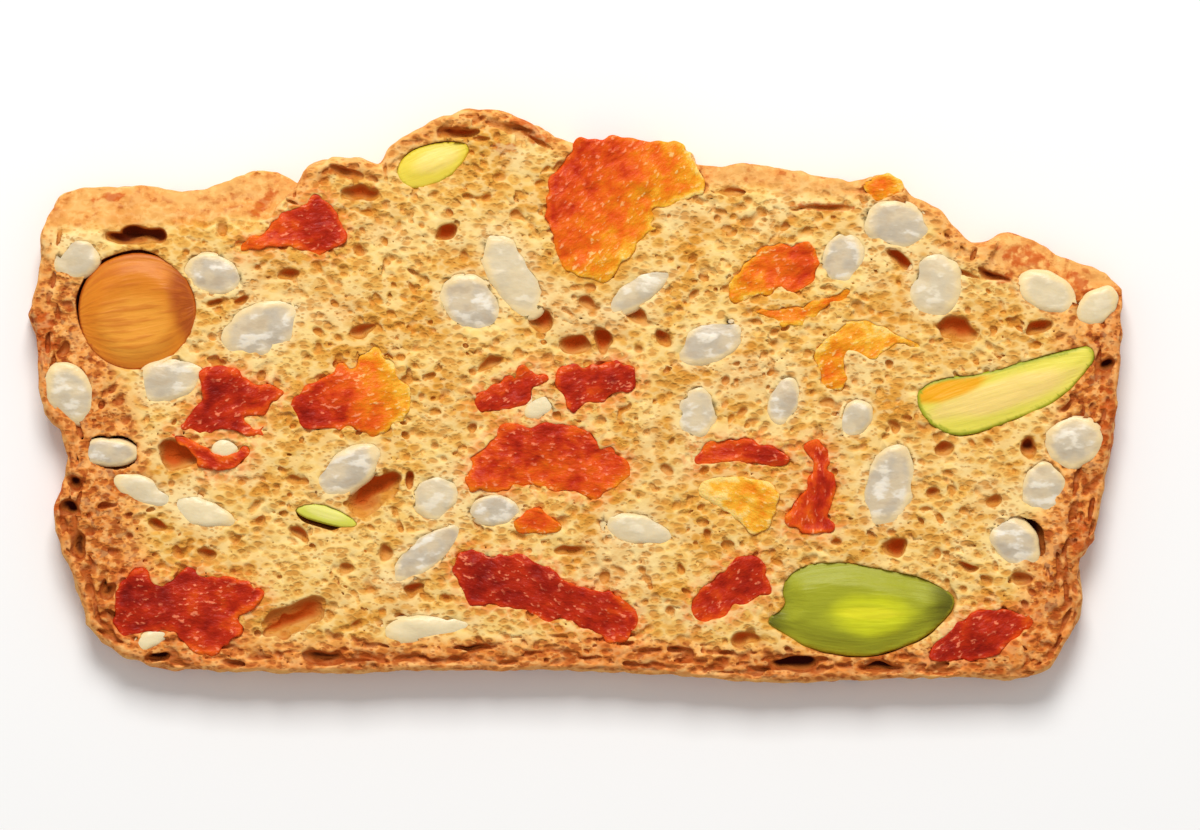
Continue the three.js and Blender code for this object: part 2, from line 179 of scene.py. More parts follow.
class Field:
    """A number that varies over a surface: a socket that sums and products can be written with."""

    def __init__(self, graph: Graph, socket: Socket) -> None:
        """Keeps the socket and the tree that it is in."""
        self.graph = graph
        self.socket = socket

    def _math(self, operation: str, *operands: Any) -> Field:
        """Adds a Math node.

        Args:
            operation: What the node works out.
            operands: Its inputs in order.

        Returns:
            The result.
        """
        made = self.graph.node("ShaderNodeMath", {"operation": operation})
        for socket, operand in zip(made.inputs, operands):
            self.graph.feed(socket, operand)
        return Field(self.graph, made.outputs[0])

    def __add__(self, other: Any) -> Field:
        """This plus other."""
        return self._math("ADD", self, other)

    def __sub__(self, other: Any) -> Field:
        """This minus other."""
        return self._math("SUBTRACT", self, other)

    def __rsub__(self, other: Any) -> Field:
        """Other minus this."""
        return self._math("SUBTRACT", other, self)

    def __mul__(self, other: Any) -> Field:
        """This times other."""
        return self._math("MULTIPLY", self, other)

    def __pow__(self, other: Any) -> Field:
        """This to the power of other."""
        return self._math("POWER", self, other)

    __radd__ = __add__
    __rmul__ = __mul__

    def step(self, low: float, high: float) -> Field:
        """Eases from 0 at low to 1 at high; low may be the larger."""
        return self.graph.value(
            "ShaderNodeMapRange",
            {"interpolation_type": "SMOOTHSTEP"},
            {"Value": self, "From Min": low, "From Max": high},
            "Result",
        )


class Sheet(Graph):
    """The nodes of one material, which end in one surface."""

    def __init__(self, name: str) -> None:
        """Makes an empty material of that name."""
        self.material = bpy.data.materials.new(name)
        self.material.use_nodes = True
        super().__init__(self.material.node_tree)
        self.tree.nodes.clear()
        self.surface = self.node("ShaderNodeBsdfPrincipled")
        self.node("ShaderNodeOutputMaterial", sockets={"Surface": self.surface.outputs["BSDF"]})
        self.place = self.node("ShaderNodeTexCoord").outputs["Object"]

    def set(self, **sockets: Any) -> None:
        """Feeds the surface's sockets, named with underscores for spaces."""
        for name, value in sockets.items():
            self.feed(self.surface.inputs[name.replace("_", " ")], value)

    def attribute(self, name: str) -> Field:
        """A number that the mesh carries under that name."""
        return self.value("ShaderNodeAttribute", {"attribute_name": name}, output="Fac")

    def grain(self) -> Socket:
        """The place on a piece, in metres, along and across the way that it grew."""
        return self.node("ShaderNodeAttribute", {"attribute_name": "grain"}).outputs["Vector"]

    def noise(
        self, size: float, detail: float = 3.0, stretch: Sequence[float] = (1, 1, 1), place: Any = None
    ) -> Field:
        """Uneven blotches.

        Args:
            size: How far apart blotches are, in millimetres.
            detail: How many finer layers they have.
            stretch: How much longer they are along each axis.
            place: Where they are read, or the piece's own frame.

        Returns:
            A field about 0.5.
        """
        where = self._squeezed(place or self.place, size, stretch)
        sockets = {"Vector": where, "Scale": 1.0, "Detail": detail}
        return self.value("ShaderNodeTexNoise", None, sockets, "Fac")

    def _squeezed(self, place: Any, size: float, stretch: Sequence[float]) -> Socket:
        """Places counted in blotches of that size, in millimetres, stretched along each axis."""
        scale = tuple(1 / (size * MM * s) for s in stretch)
        return self.node("ShaderNodeMapping", None, {"Vector": place, "Scale": scale}).outputs["Vector"]

    def cells(self, size: float, stretch: Sequence[float], warp: float) -> Field:
        """Distance from the middle of the nearest small air cell.

        Args:
            size: How far apart cells are, in millimetres.
            stretch: How much longer they are along each axis.
            warp: How far their outline wanders, in millimetres.

        Returns:
            Zero at a cell's middle and about 1 where cells meet.
        """
        drift = self.node("ShaderNodeTexNoise", None, {"Vector": self.place, "Scale": 1 / (1.5 * size * MM)})
        moved = self.node(
            "ShaderNodeVectorMath",
            {"operation": "MULTIPLY_ADD"},
            {"Vector": drift.outputs["Color"], "Vector_001": (warp * MM,) * 3, "Vector_002": self.place},
        )
        sockets = {"Vector": self._squeezed(moved.outputs["Vector"], size, stretch), "Scale": 1.0}
        return self.value("ShaderNodeTexVoronoi", {"feature": "F1"}, sockets, "Distance")

    def layered(self, colour: Any, *layers: tuple[Any, Any]) -> Socket:
        """Lays colours over one another.

        Args:
            colour: The lowest.
            layers: How much each layer covers and its colour, from the lowest.

        Returns:
            The colour that shows.
        """
        for share, laid in layers:
            sockets = {"Factor_Float": share, "A_Color": colour, "B_Color": laid}
            mixed = self.node("ShaderNodeMix", {"data_type": "RGBA"}, sockets)
            colour = socket_named(mixed.outputs, "Result_Color")
        return colour

    def ramp(self, share: Any, stops: Sequence[tuple[float, Colour]]) -> Socket:
        """Takes the colour at a share of the way along a row of stops."""
        return self.node("ShaderNodeValToRGB", {"stops": stops}, {"Fac": share}).outputs["Color"]

    def bump(self, height: Field, depth: float) -> None:
        """Roughens the surface with a relief from 0 to 1 that is so many millimetres deep."""
        made = self.node("ShaderNodeBump", None, {"Height": height, "Distance": depth * MM, "Strength": 1.0})
        self.set(Normal=made.outputs["Normal"])


# Finishes


@dataclass(frozen=True)
class CrumbFinish:
    """Dry, toasted crumb: cream walls, ochre air cells, a browner rim and brown holes, darker with depth,
    with painted shade on hole walls turned from the lamp and near-black painted shade in marked holes.
    """

    cream: Colour = srgb(247, 206, 122)
    straw: Colour = srgb(232, 174, 78)
    gold: Colour = srgb(224, 154, 55)
    flour: Colour = srgb(252, 228, 170)
    ridge: Colour = srgb(253, 226, 158)
    toasted: Colour = srgb(240, 165, 80)
    baked: Colour = srgb(222, 126, 48)
    pale_crust: Colour = srgb(253, 192, 116)
    crust: Colour = srgb(234, 146, 70)
    dark_crust: Colour = srgb(124, 38, 8)
    slope: Colour = srgb(230, 168, 92)
    slope_flush: Colour = srgb(228, 154, 78)
    slope_speck: Colour = srgb(192, 98, 38)
    cell: Colour = srgb(204, 130, 42)
    baked_cell: Colour = srgb(166, 70, 18)
    maroon: Colour = srgb(140, 46, 12)
    hollow: Colour = srgb(194, 110, 42)
    hole: Colour = srgb(196, 84, 20)
    # near-black: holes near the crust, partly browner there, and painted shade in the marked deep holes and
    # gaps
    browned_and_shaded_hole: Colour = srgb(54, 8, 3)
    scorch: Colour = srgb(198, 84, 22)
    stain: Colour = srgb(236, 128, 58)

    def material(self) -> Material:
        """Writes the nodes.

        Returns:
            The material.
        """
        sheet = Sheet("baked_crumb")
        edge = sheet.attribute("edge")
        depth = sheet.attribute("depth")
        ends = sheet.attribute("ends")
        broad = sheet.noise(9.0, 2.0)
        middling = sheet.noise(5.0, 3.0)
        patch = sheet.noise(2.6, 3.0)
        fleck = sheet.noise(0.8, 3.0)
        small = sheet.cells(0.8, (1.45, 0.85, 1.0), 0.5)
        tiny = sheet.cells(0.46, (1.3, 0.85, 1.0), 0.3)
        lying = sheet.noise(0.8, 3.0, (4.0, 1.0, 1.0))
        standing = sheet.noise(0.8, 3.0, (1.0, 4.0, 1.0))
        layers = lying * (1 - ends) + standing * ends

        airy = sheet.noise(6.0, 3.0, (1.4, 1.0, 1.0))
        flour = sheet.attribute("pale") ** 2.0 * patch.step(0.35, 0.6) * 0.6
        toast = sheet.attribute("toast") + (broad - 0.5) * 0.6 + (patch - 0.5) * 0.7
        browned = toast.step(0.25, 0.8)
        flecked = toast.step(0.45, 1.0) * fleck.step(0.53, 0.61) * (ends * 0.6 + 0.2)
        crust = sheet.ramp(
            layers,
            ((0.34, self.pale_crust), (0.45, self.crust), (0.56, self.crust), (0.66, self.dark_crust)),
        )
        rim = (edge + (patch - 0.5) * 2.2 + (fleck - 0.5) * 1.2).step(1.9, 0.3) * sheet.attribute("rind")
        slope = sheet.layered(
            self.slope,
            ((middling * 0.7 + patch * 0.6).step(0.56, 0.8), self.slope_flush),
            (fleck.step(0.52, 0.66) * patch.step(0.4, 0.6) * 0.75, self.slope_speck),
            (fleck.step(0.47, 0.36) * 0.5, self.pale_crust),
        )
        on_slope = (sheet.attribute("drop") + (patch - 0.5) * 0.5).step(0.08, 0.75)
        mark = sheet.attribute("scorch")
        mottled = (mark * 0.9 + (fleck - 0.5) * 2.4 + (patch - 0.5) * 1.2).step(0.35, 1.0)

        crumbly = 1 - on_slope * 0.7
        cell = sheet.layered(self.cell, (browned, self.baked_cell))
        # painted shade: marked deep holes and gaps turn near-black
        murk = sheet.attribute("murk") * 0.85
        hole = sheet.layered(self.hole, (browned, self.browned_and_shaded_hole), (murk, self.browned_and_shaded_hole))
        open_cells = small.step(0.52, 0.24) * fleck.step(0.34, 0.48) * crumbly
        pinholes = tiny.step(0.42, 0.18) * patch.step(0.34, 0.5) * crumbly
        walls = small.step(0.5, 0.75) * crumbly * (1 - browned * 0.6)
        # painted shade: hole walls that face away from the lamp take the hollow and hole colours sooner,
        # walls facing it stay paler
        shaded = depth + (sheet.attribute("shade") - 0.5) * 0.8 + (patch - 0.5) * 0.6

        colour = sheet.layered(
            self.cream,
            ((patch * 0.8 + broad * 0.7).step(0.56, 0.94), self.straw),
            (middling.step(0.46, 0.66) * 0.8, self.gold),
            (airy.step(0.52, 0.66) * 0.4, self.flour),
            (flour, self.flour),
            (browned, self.toasted),
            (toast.step(0.75, 1.15) * 0.8, self.baked),
            (browned * fleck.step(0.47, 0.36) * 0.55, self.pale_crust),
            (flecked, self.maroon),
            (sheet.attribute("stain") * fleck.step(0.38, 0.58) * 0.75, self.stain),
            (rim * 0.85, crust),
            (on_slope, slope),
            (mottled * mark.step(0.02, 0.4) * 0.8, self.scorch),
            (walls * 0.45, self.ridge),
            (open_cells * 0.66, cell),
            (pinholes * 0.55, cell),
            (depth.step(0.06, 0.45) * 0.75, cell),
            (shaded.step(0.55, 1.0) * 0.85, self.hollow),
            (shaded.step(0.95, 1.5), hole),
        )
        sheet.bump(fleck * 0.5 + patch * 0.3 - open_cells * 0.35 - pinholes * 0.18, 0.22)
        sheet.set(Base_Color=colour, Roughness=fleck * 0.3 + 0.6, Specular_IOR_Level=0.1)
        return sheet.material


@dataclass(frozen=True)
class FruitFinish:
    """Candied fruit: clear, sticky flesh that runs from dark red to amber, with painted highlights for its
    wet glints.
    """

    stops: tuple[tuple[float, Colour], ...] = (
        (0.0, srgb(106, 6, 0)),
        (0.2, srgb(158, 26, 4)),
        (0.36, srgb(192, 44, 8)),
        (0.5, srgb(224, 80, 12)),
        (0.65, srgb(236, 108, 14)),
        (0.8, srgb(236, 144, 18)),
        (0.92, srgb(246, 180, 50)),
        (1.0, srgb(250, 208, 116)),
    )
    # painted highlight colours, for red and for amber flesh
    red_highlight: Colour = srgb(255, 146, 104)
    amber_highlight: Colour = srgb(255, 212, 132)

    def material(self) -> Material:
        """Writes the nodes.

        Returns:
            The material.
        """
        sheet = Sheet("candied_fruit")
        grain = sheet.grain()
        lump = sheet.noise(2.4, 3.0, place=grain)
        strand = sheet.noise(0.9, 3.0, (1.3, 0.9, 1.0), grain)
        glint = sheet.noise(0.5, 2.0, (1.4, 0.8, 1.0), grain)
        tone = sheet.attribute("tone") + sheet.attribute("rim") * 0.14
        colour = sheet.ramp(tone + (lump - 0.5) * 0.6 + (strand - 0.5) * 0.4, self.stops)
        # painted highlights: pale pink and cream dashes where the wet flesh would catch the lamp
        highlight = sheet.layered(self.red_highlight, (tone.step(0.45, 0.8), self.amber_highlight))
        colour = sheet.layered(colour, (glint.step(0.58, 0.69) * lump.step(0.38, 0.54) * 0.75, highlight))
        sheet.bump(strand * 0.5 + lump * 0.4 + glint * 0.5, 0.3)
        sheet.set(
            Base_Color=colour,
            Roughness=glint * 0.4 + 0.26,
            Specular_IOR_Level=0.14,
            Subsurface_Weight=0.15,
            Subsurface_Radius=(1.0, 0.25, 0.1),
            Subsurface_Scale=0.8 * MM,
        )
        return sheet.material


@dataclass(frozen=True)
class SeedFinish:
    """Hulled seed: grey-white and a little clear, paler at the rim."""

    body: Colour = srgb(212, 192, 160)
    grey: Colour = srgb(192, 179, 160)
    pale: Colour = srgb(240, 220, 174)
    hull: Colour = srgb(244, 214, 154)
    vein: Colour = srgb(246, 240, 228)
    shadow: Colour = srgb(186, 162, 132)

    def material(self) -> Material:
        """Writes the nodes.

        Returns:
            The material.
        """
        sheet = Sheet("hulled_seed")
        cloud = sheet.noise(2.2, 2.0)
        streak = sheet.noise(1.1, 3.0, (1.8, 1.0, 1.0))
        rim = (sheet.attribute("rim") + (streak - 0.5) * 1.4 + (cloud - 0.5) * 0.8).step(0.1, 1.0)
        colour = sheet.layered(
            self.body,
            (cloud.step(0.38, 0.6), self.grey),
            (streak.step(0.46, 0.34) * 0.5, self.shadow),
            (streak.step(0.52, 0.66) * 0.75, self.vein),
            (sheet.attribute("tone"), self.pale),
            (rim * 0.85, self.hull),
        )
        sheet.bump(streak * 0.6 + cloud * 0.6, 0.22)
        sheet.set(
            Base_Color=colour,
            Roughness=0.34,
            Specular_IOR_Level=0.34,
            Subsurface_Weight=0.15,
            Subsurface_Radius=(1.0, 0.8, 0.6),
            Subsurface_Scale=0.6 * MM,
        )
        return sheet.material


@dataclass(frozen=True)
class KernelFinish:
    """A nut kernel that the knife has cut: its heart, its flanks, its ends and the skin at its rim."""

    name: str
    heart: Colour
    flank: Colour
    skin: Colour
    tip: Colour
    streaks: float
    # a patch of another colour where the toast spot lies; on the hazelnut that is painted shade down its
    # right side, with some brown skin
    toasted: Colour = srgb(240, 168, 14)

    def material(self) -> Material:
        """Writes the nodes.

        Returns:
            The material.
        """
        sheet = Sheet(self.name)
        grain = sheet.grain()
        streak = sheet.noise(0.7, 3.0, (7.0, 0.9, 1.0), grain)
        cloud = sheet.noise(2.6, 2.0, place=grain)
        waver = (cloud - 0.5) * 0.6 + (streak - 0.5) * 0.3
        colour = sheet.layered(
            self.flank,
            ((sheet.attribute("heart") + waver * 0.9).step(0.1, 0.9), self.heart),
            ((sheet.attribute("toast") + waver * 0.9).step(0.15, 0.85), self.toasted),
            ((sheet.attribute("tip") + waver * 0.6).step(0.1, 1.0), self.tip),
            ((sheet.attribute("rim") + waver * 0.6).step(0.3, 0.95), self.skin),
            (streak.step(0.46, 0.68) * self.streaks, self.tip),
        )
        sheet.bump(streak * 0.7 + cloud * 0.6, 0.16)
        sheet.set(
            Base_Color=colour,
            Roughness=streak * 0.2 + 0.32,
            Specular_IOR_Level=0.22,
            Subsurface_Weight=0.15,
            Subsurface_Radius=(1.0, 0.8, 0.3),
            Subsurface_Scale=0.5 * MM,
        )
        return sheet.material


# Volumes and meshes


@dataclass
class Shell:
    """A closed surface: points in millimetres and triangles."""

    points: Array
    triangles: Array

    @classmethod
    def of_mesh(cls, mesh: Mesh) -> Shell:
        """Reads a mesh that is in metres.

        Args:
            mesh: The mesh.

        Returns:
            Its points and triangles.
        """
        points = np.empty(len(mesh.vertices) * 3, np.float32)
        mesh.vertices.foreach_get("co", points)
        mesh.calc_loop_triangles()
        triangles = np.empty(len(mesh.loop_triangles) * 3, np.int32)
        mesh.loop_triangles.foreach_get("vertices", triangles)
        return cls(points.reshape(-1, 3) / MM, triangles.reshape(-1, 3))

    def mesh(self, name: str) -> Mesh:
        """Makes a smooth-shaded mesh in metres.

        Args:
            name: The mesh's name.

        Returns:
            The mesh.
        """
        made = bpy.data.meshes.new(name)
        count = len(self.triangles)
        made.vertices.add(len(self.points))
        made.vertices.foreach_set("co", (self.points * MM).astype(np.float32).ravel())
        made.loops.add(3 * count)
        made.loops.foreach_set("vertex_index", self.triangles.astype(np.int32).ravel())
        made.polygons.add(count)
        made.polygons.foreach_set("loop_start", np.arange(0, 3 * count, 3, dtype=np.int32))
        made.update(calc_edges=True)
        smooth(made)
        return made


def smooth(mesh: Mesh) -> None:
    """Shades every face of a mesh smooth."""
    mesh.polygons.foreach_set("use_smooth", np.ones(len(mesh.polygons), dtype=bool))


@dataclass(frozen=True)
class Outline:
    """A closed line round a piece, as the cut face shows it, in millimetres."""

    points: tuple[tuple[float, float], ...]

    def eased(self) -> Array:
        """Rounds the corners off.

        Returns:
            Twice as many corners, each half as sharp.
        """
        corners = np.array(self.points)
        following = np.roll(corners, -1, 0)
        cut = np.stack([0.75 * corners + 0.25 * following, 0.25 * corners + 0.75 * following], 1)
        return cut.reshape(-1, 2)

    def distances(self, x: Array, y: Array) -> Array:
        """Measures how far spots are from the line.

        Args:
            x: X of the spots.
            y: Y of the spots.

        Returns:
            Distances, negative inside the line.
        """
        corners = self.eased()
        nearest = np.full(x.shape, np.inf)
        inside = np.zeros(x.shape, bool)
        for (ax, ay), (bx, by) in zip(corners, np.roll(corners, -1, 0)):
            run, rise = bx - ax, by - ay
            share = np.clip(((x - ax) * run + (y - ay) * rise) / (run**2 + rise**2), 0, 1)
            nearest = np.minimum(nearest, np.hypot(x - ax - share * run, y - ay - share * rise))
            if rise:
                inside ^= ((ay > y) != (by > y)) & (x < run * (y - ay) / rise + ax)
        return np.where(inside, -nearest, nearest).astype(np.float32)

    def cells(self, face: float, step: float, margin: float) -> Block:
        """Makes an empty block round what the line holds, from the back to the face."""
        low, high = np.min(self.points, 0), np.max(self.points, 0)
        return Block.around(np.array([(*low, 0), (*high, face)]), step, margin)

    def plan(self, block: Block) -> Plan:
        """Distances from the line in a block's columns."""
        return Plan(block.low[:2], block.step, self.distances(*block.columns()))


@dataclass
class Block:
    """A block of cells that each hold a distance in millimetres, negative inside the food."""

    low: Array
    step: float
    values: Array

    @classmethod
    def around(cls, points: Array, step: float, margin: float) -> Block:
        """Makes an empty block round points.

        Args:
            points: What the block has to hold.
            step: Size of a cell.
            margin: Room left round it.

        Returns:
            The block, outside everywhere.
        """
        low = np.floor((points.min(0) - margin) / step).astype(int)
        high = np.ceil((points.max(0) + margin) / step).astype(int)
        return cls(low, step, np.full(tuple(high - low), margin, np.float32))

    def distances(self, shell: Shell, reach: float) -> Array:
        """Measures how far each cell is from a closed shell.

        Args:
            shell: The shell.
            reach: The furthest distance that counts.

        Returns:
            Distances in this block's cells, negative inside.
        """
        level = openvdb.FloatGrid.createLevelSetFromPolygons(
            np.ascontiguousarray(shell.points, np.float32),
            triangles=np.ascontiguousarray(shell.triangles, np.uint32),
            transform=openvdb.createLinearTransform(voxelSize=self.step),
            halfWidth=reach / self.step,
        )
        found = np.empty(self.values.shape, np.float32)
        level.copyToArray(found, ijk=tuple(int(i) for i in self.low))
        return found

    def axis(self, index: int) -> Array:
        """Places of the cells along one axis, in millimetres."""
        return ((np.arange(self.values.shape[index]) + self.low[index]) * self.step).astype(np.float32)

    def heights(self) -> Array:
        """Heights of the cells, shaped to go with the block's values."""
        return self.axis(2)[None, None, :]

    def columns(self) -> tuple[Array, Array]:
        """X and Y of the block's upright columns of cells."""
        return np.meshgrid(self.axis(0), self.axis(1), indexing="ij")

    def feet(self) -> Array:
        """The columns' places as a list of points at height 0."""
        x, y = self.columns()
        return np.column_stack([x.ravel(), y.ravel(), np.zeros(x.size)])

    def noise(self, sizes: Sequence[float], seed: int) -> Array:
        """Smooth random waves of unit strength.

        Args:
            sizes: How far apart the waves are along each axis.
            seed: Which waves.

        Returns:
            The waves in this block's cells.
        """
        counts = [int(n * self.step / size) + 4 for n, size in zip(self.values.shape, sizes)]
        waves = np.random.default_rng(seed).standard_normal(counts).astype(np.float32)
        for index, (count, size) in enumerate(zip(counts, sizes)):
            place = np.arange(self.values.shape[index]) * self.step / size + 1
            gap = np.abs(place[:, None] - np.arange(count)[None, :])
            near = 2 / 3 - gap**2 + gap**3 / 2
            far = np.clip(2 - gap, 0, None) ** 3 / 6
            weights = np.where(gap < 1, near, far).astype(np.float32)
            waves = np.moveaxis(np.tensordot(weights, waves, (1, index)), 0, index)
        return waves / waves.std()

    def _shared(self, other: Block) -> tuple[Array, Array]:
        """Finds the cells that two blocks share.

        Args:
            other: The other block, of the same step.

        Returns:
            This block's cells and the other's, as views.
        """
        low = np.maximum(self.low, other.low)
        high = np.minimum(self.low + self.values.shape, other.low + other.values.shape)
        mine = tuple(slice(a, b) for a, b in zip(low - self.low, high - self.low))
        theirs = tuple(slice(a, b) for a, b in zip(low - other.low, high - other.low))
        return self.values[mine], other.values[theirs]

    def join(self, other: Block, swell: float) -> None:
        """Adds another block's food, swollen, to this one's."""
        mine, theirs = self._shared(other)
        np.minimum(mine, theirs - swell, out=mine)

    def carve(self, other: Block, swell: float) -> None:
        """Takes another block's food, swollen, out of this one's."""
        mine, theirs = self._shared(other)
        np.maximum(mine, swell - theirs, out=mine)

    def opened(self, low: float, high: float) -> Block:
        """Carries the food on to both faces, as the room that it needs if nothing may lie over it.

        Args:
            low: The height that it is carried down from.
            high: The height that it is carried up from.

        Returns:
            The room.
        """
        lower, upper = np.searchsorted(self.axis(2), (low, high))
        values = self.values.copy()
        values[:, :, upper:] = np.minimum.accumulate(values[:, :, upper:], axis=2)
        values[:, :, :lower] = np.minimum.accumulate(values[:, :, lower - 1 :: -1], axis=2)[:, :, ::-1]
        return Block(self.low, self.step, values)

    def warped(self, size: float, shift: Array, seed: int) -> Block:
        """Pushes upright columns of cells about, so that no outline stays regular.

        Args:
            size: How far apart the waves are, in millimetres.
            shift: How far each column moves, in millimetres.
            seed: Which waves.

        Returns:
            A block of the same cells.
        """
        corners, shares = [], []
        for axis, count in enumerate(self.values.shape[:2]):
            waves = self.noise((size, size, 100.0), seed + axis)[:, :, 0]
            place = np.expand_dims(np.arange(count), 1 - axis) + waves * shift / self.step
            place = np.clip(place, 0, count - 1.01)
            corners.append(np.floor(place).astype(int))
            shares.append((place - corners[-1])[:, :, None].astype(np.float32))
        (i, j), (u, v) = corners, shares
        near = self.values[i, j] * (1 - v) + self.values[i, j + 1] * v
        far = self.values[i + 1, j] * (1 - v) + self.values[i + 1, j + 1] * v
        return Block(self.low, self.step, near * (1 - u) + far * u)

    def measured(self, reach: float) -> Block:
        """Measures the distances afresh, up to reach, so that they are true where shapes were joined."""
        return Block(self.low, self.step, self.distances(self.shell(), reach))

    def shell(self) -> Shell:
        """Finds the surface between inside and outside.

        Returns:
            The surface, facing out.
        """
        grid = openvdb.FloatGrid(float(self.values.max()))
        grid.copyFromArray(np.ascontiguousarray(self.values), ijk=tuple(int(i) for i in self.low))
        grid.transform = openvdb.createLinearTransform(voxelSize=self.step)
        points, _, quads = grid.convertToPolygons(isovalue=0.0, adaptivity=0.0)
        triangles = np.concatenate([quads[:, [0, 2, 1]], quads[:, [0, 3, 2]]]).astype(np.int64)
        corners = points[triangles].astype(np.float64)
        volume = np.einsum("ij,ij->", corners[:, 0], np.cross(corners[:, 1], corners[:, 2]))
        return Shell(points, triangles if volume > 0 else triangles[:, ::-1])


@dataclass(frozen=True)
class Waves:
    """Unevenness of a surface, in millimetres: its height and how far apart its waves are along each axis."""

    height: float
    apart: Triple

    def over(self, block: Block, seed: int) -> Array:
        """The waves of that seed in a block's cells."""
        return self.height * block.noise(self.apart, seed)


def round_max(first: Array, second: Array, radius: float) -> Array:
    """Distances from what two shapes share, with the edge between them rounded."""
    share = np.clip(0.5 + 0.5 * (first - second) / radius, 0, 1)
    return second + (first - second) * share + radius * share * (1 - share)


@dataclass
class Plan:
    """Values in square cells seen from above."""

    low: Array
    step: float
    values: Array

    def places(self) -> tuple[Array, Array]:
        """X and Y of every cell, in millimetres."""
        x = (np.arange(self.values.shape[0]) + self.low[0]) * self.step
        y = (np.arange(self.values.shape[1]) + self.low[1]) * self.step
        return np.meshgrid(x, y, indexing="ij")

    def frame(self) -> tuple[Array, float]:
        """Finds a piece's middle and the direction of its length.

        Returns:
            The middle in millimetres and the turn in radians.
        """
        x, y = self.places()
        inside = self.values < 0
        spots = np.stack([x[inside], y[inside]])
        _, vectors = np.linalg.eigh(np.cov(spots))
        along = vectors[:, 1] * (1 if vectors[0, 1] >= 0 else -1)
        return spots.mean(1), math.atan2(along[1], along[0])

    def sample(self, points: Array) -> Array:
        """Reads the cells nearest to points, which are in millimetres."""
        index = np.rint(points[:, :2] / self.step).astype(int) - self.low
        return self.values[tuple(np.clip(index, 0, np.array(self.values.shape) - 1).T)]


def local_frame(points: Array, middle: Array, turn: float) -> Array:
    """Carries points into a piece's own frame, along and across its length.

    Args:
        points: Points in millimetres.
        middle: The piece's middle.
        turn: The direction of its length, in radians.

    Returns:
        Along, across and up, in millimetres.
    """
    x, y = points[:, 0] - middle[0], points[:, 1] - middle[1]
    cosine, sine = math.cos(turn), math.sin(turn)
    return np.stack([x * cosine + y * sine, y * cosine - x * sine, points[:, 2]], axis=1)


def searchable(spots: Sequence[Sequence[float]]) -> KDTree:
    """Gathers flat spots so that the one nearest to a place can be found.

    Args:
        spots: X and Y of each.

    Returns:
        The spots, ready to be searched.
    """
    tree = KDTree(len(spots))
    for index, (x, y) in enumerate(spots):
        tree.insert((x, y, 0), index)
    tree.balance()
    return tree


def add_object(name: str, mesh: Mesh) -> Piece:
    """Puts a mesh in the scene.

    Args:
        name: The object's name.
        mesh: Its mesh.

    Returns:
        The object, at the origin.
    """
    made = bpy.data.objects.new(name, mesh)
    bpy.context.scene.collection.objects.link(made)
    return made


def finished(piece: Piece) -> Piece:
    """Turns a piece's live modifiers into plain mesh.

    Args:
        piece: The object with modifiers.

    Returns:
        The same object with none.
    """
    graph = bpy.context.evaluated_depsgraph_get()
    mesh = bpy.data.meshes.new_from_object(piece.evaluated_get(graph))
    old = piece.data
    piece.modifiers.clear()
    piece.data = mesh
    bpy.data.meshes.remove(old)
    mesh.name = piece.name
    smooth(mesh)
    return piece


def remove(piece: Piece) -> None:
    """Takes a helper object and its mesh out of the scene."""
    mesh = piece.data
    bpy.data.objects.remove(piece)
    bpy.data.meshes.remove(mesh)


def set_attributes(mesh: Mesh, **attributes: Array) -> None:
    """Gives each point of a mesh numbers, or vectors, under names.

    Args:
        mesh: The mesh.
        attributes: Each attribute's name, with one row for each point.
    """
    for name, values in attributes.items():
        vector = values.ndim == 2
        made = mesh.attributes.new(name, "FLOAT_VECTOR" if vector else "FLOAT", "POINT")
        made.data.foreach_set("vector" if vector else "value", values.astype(np.float32).ravel())


# Geometry Nodes


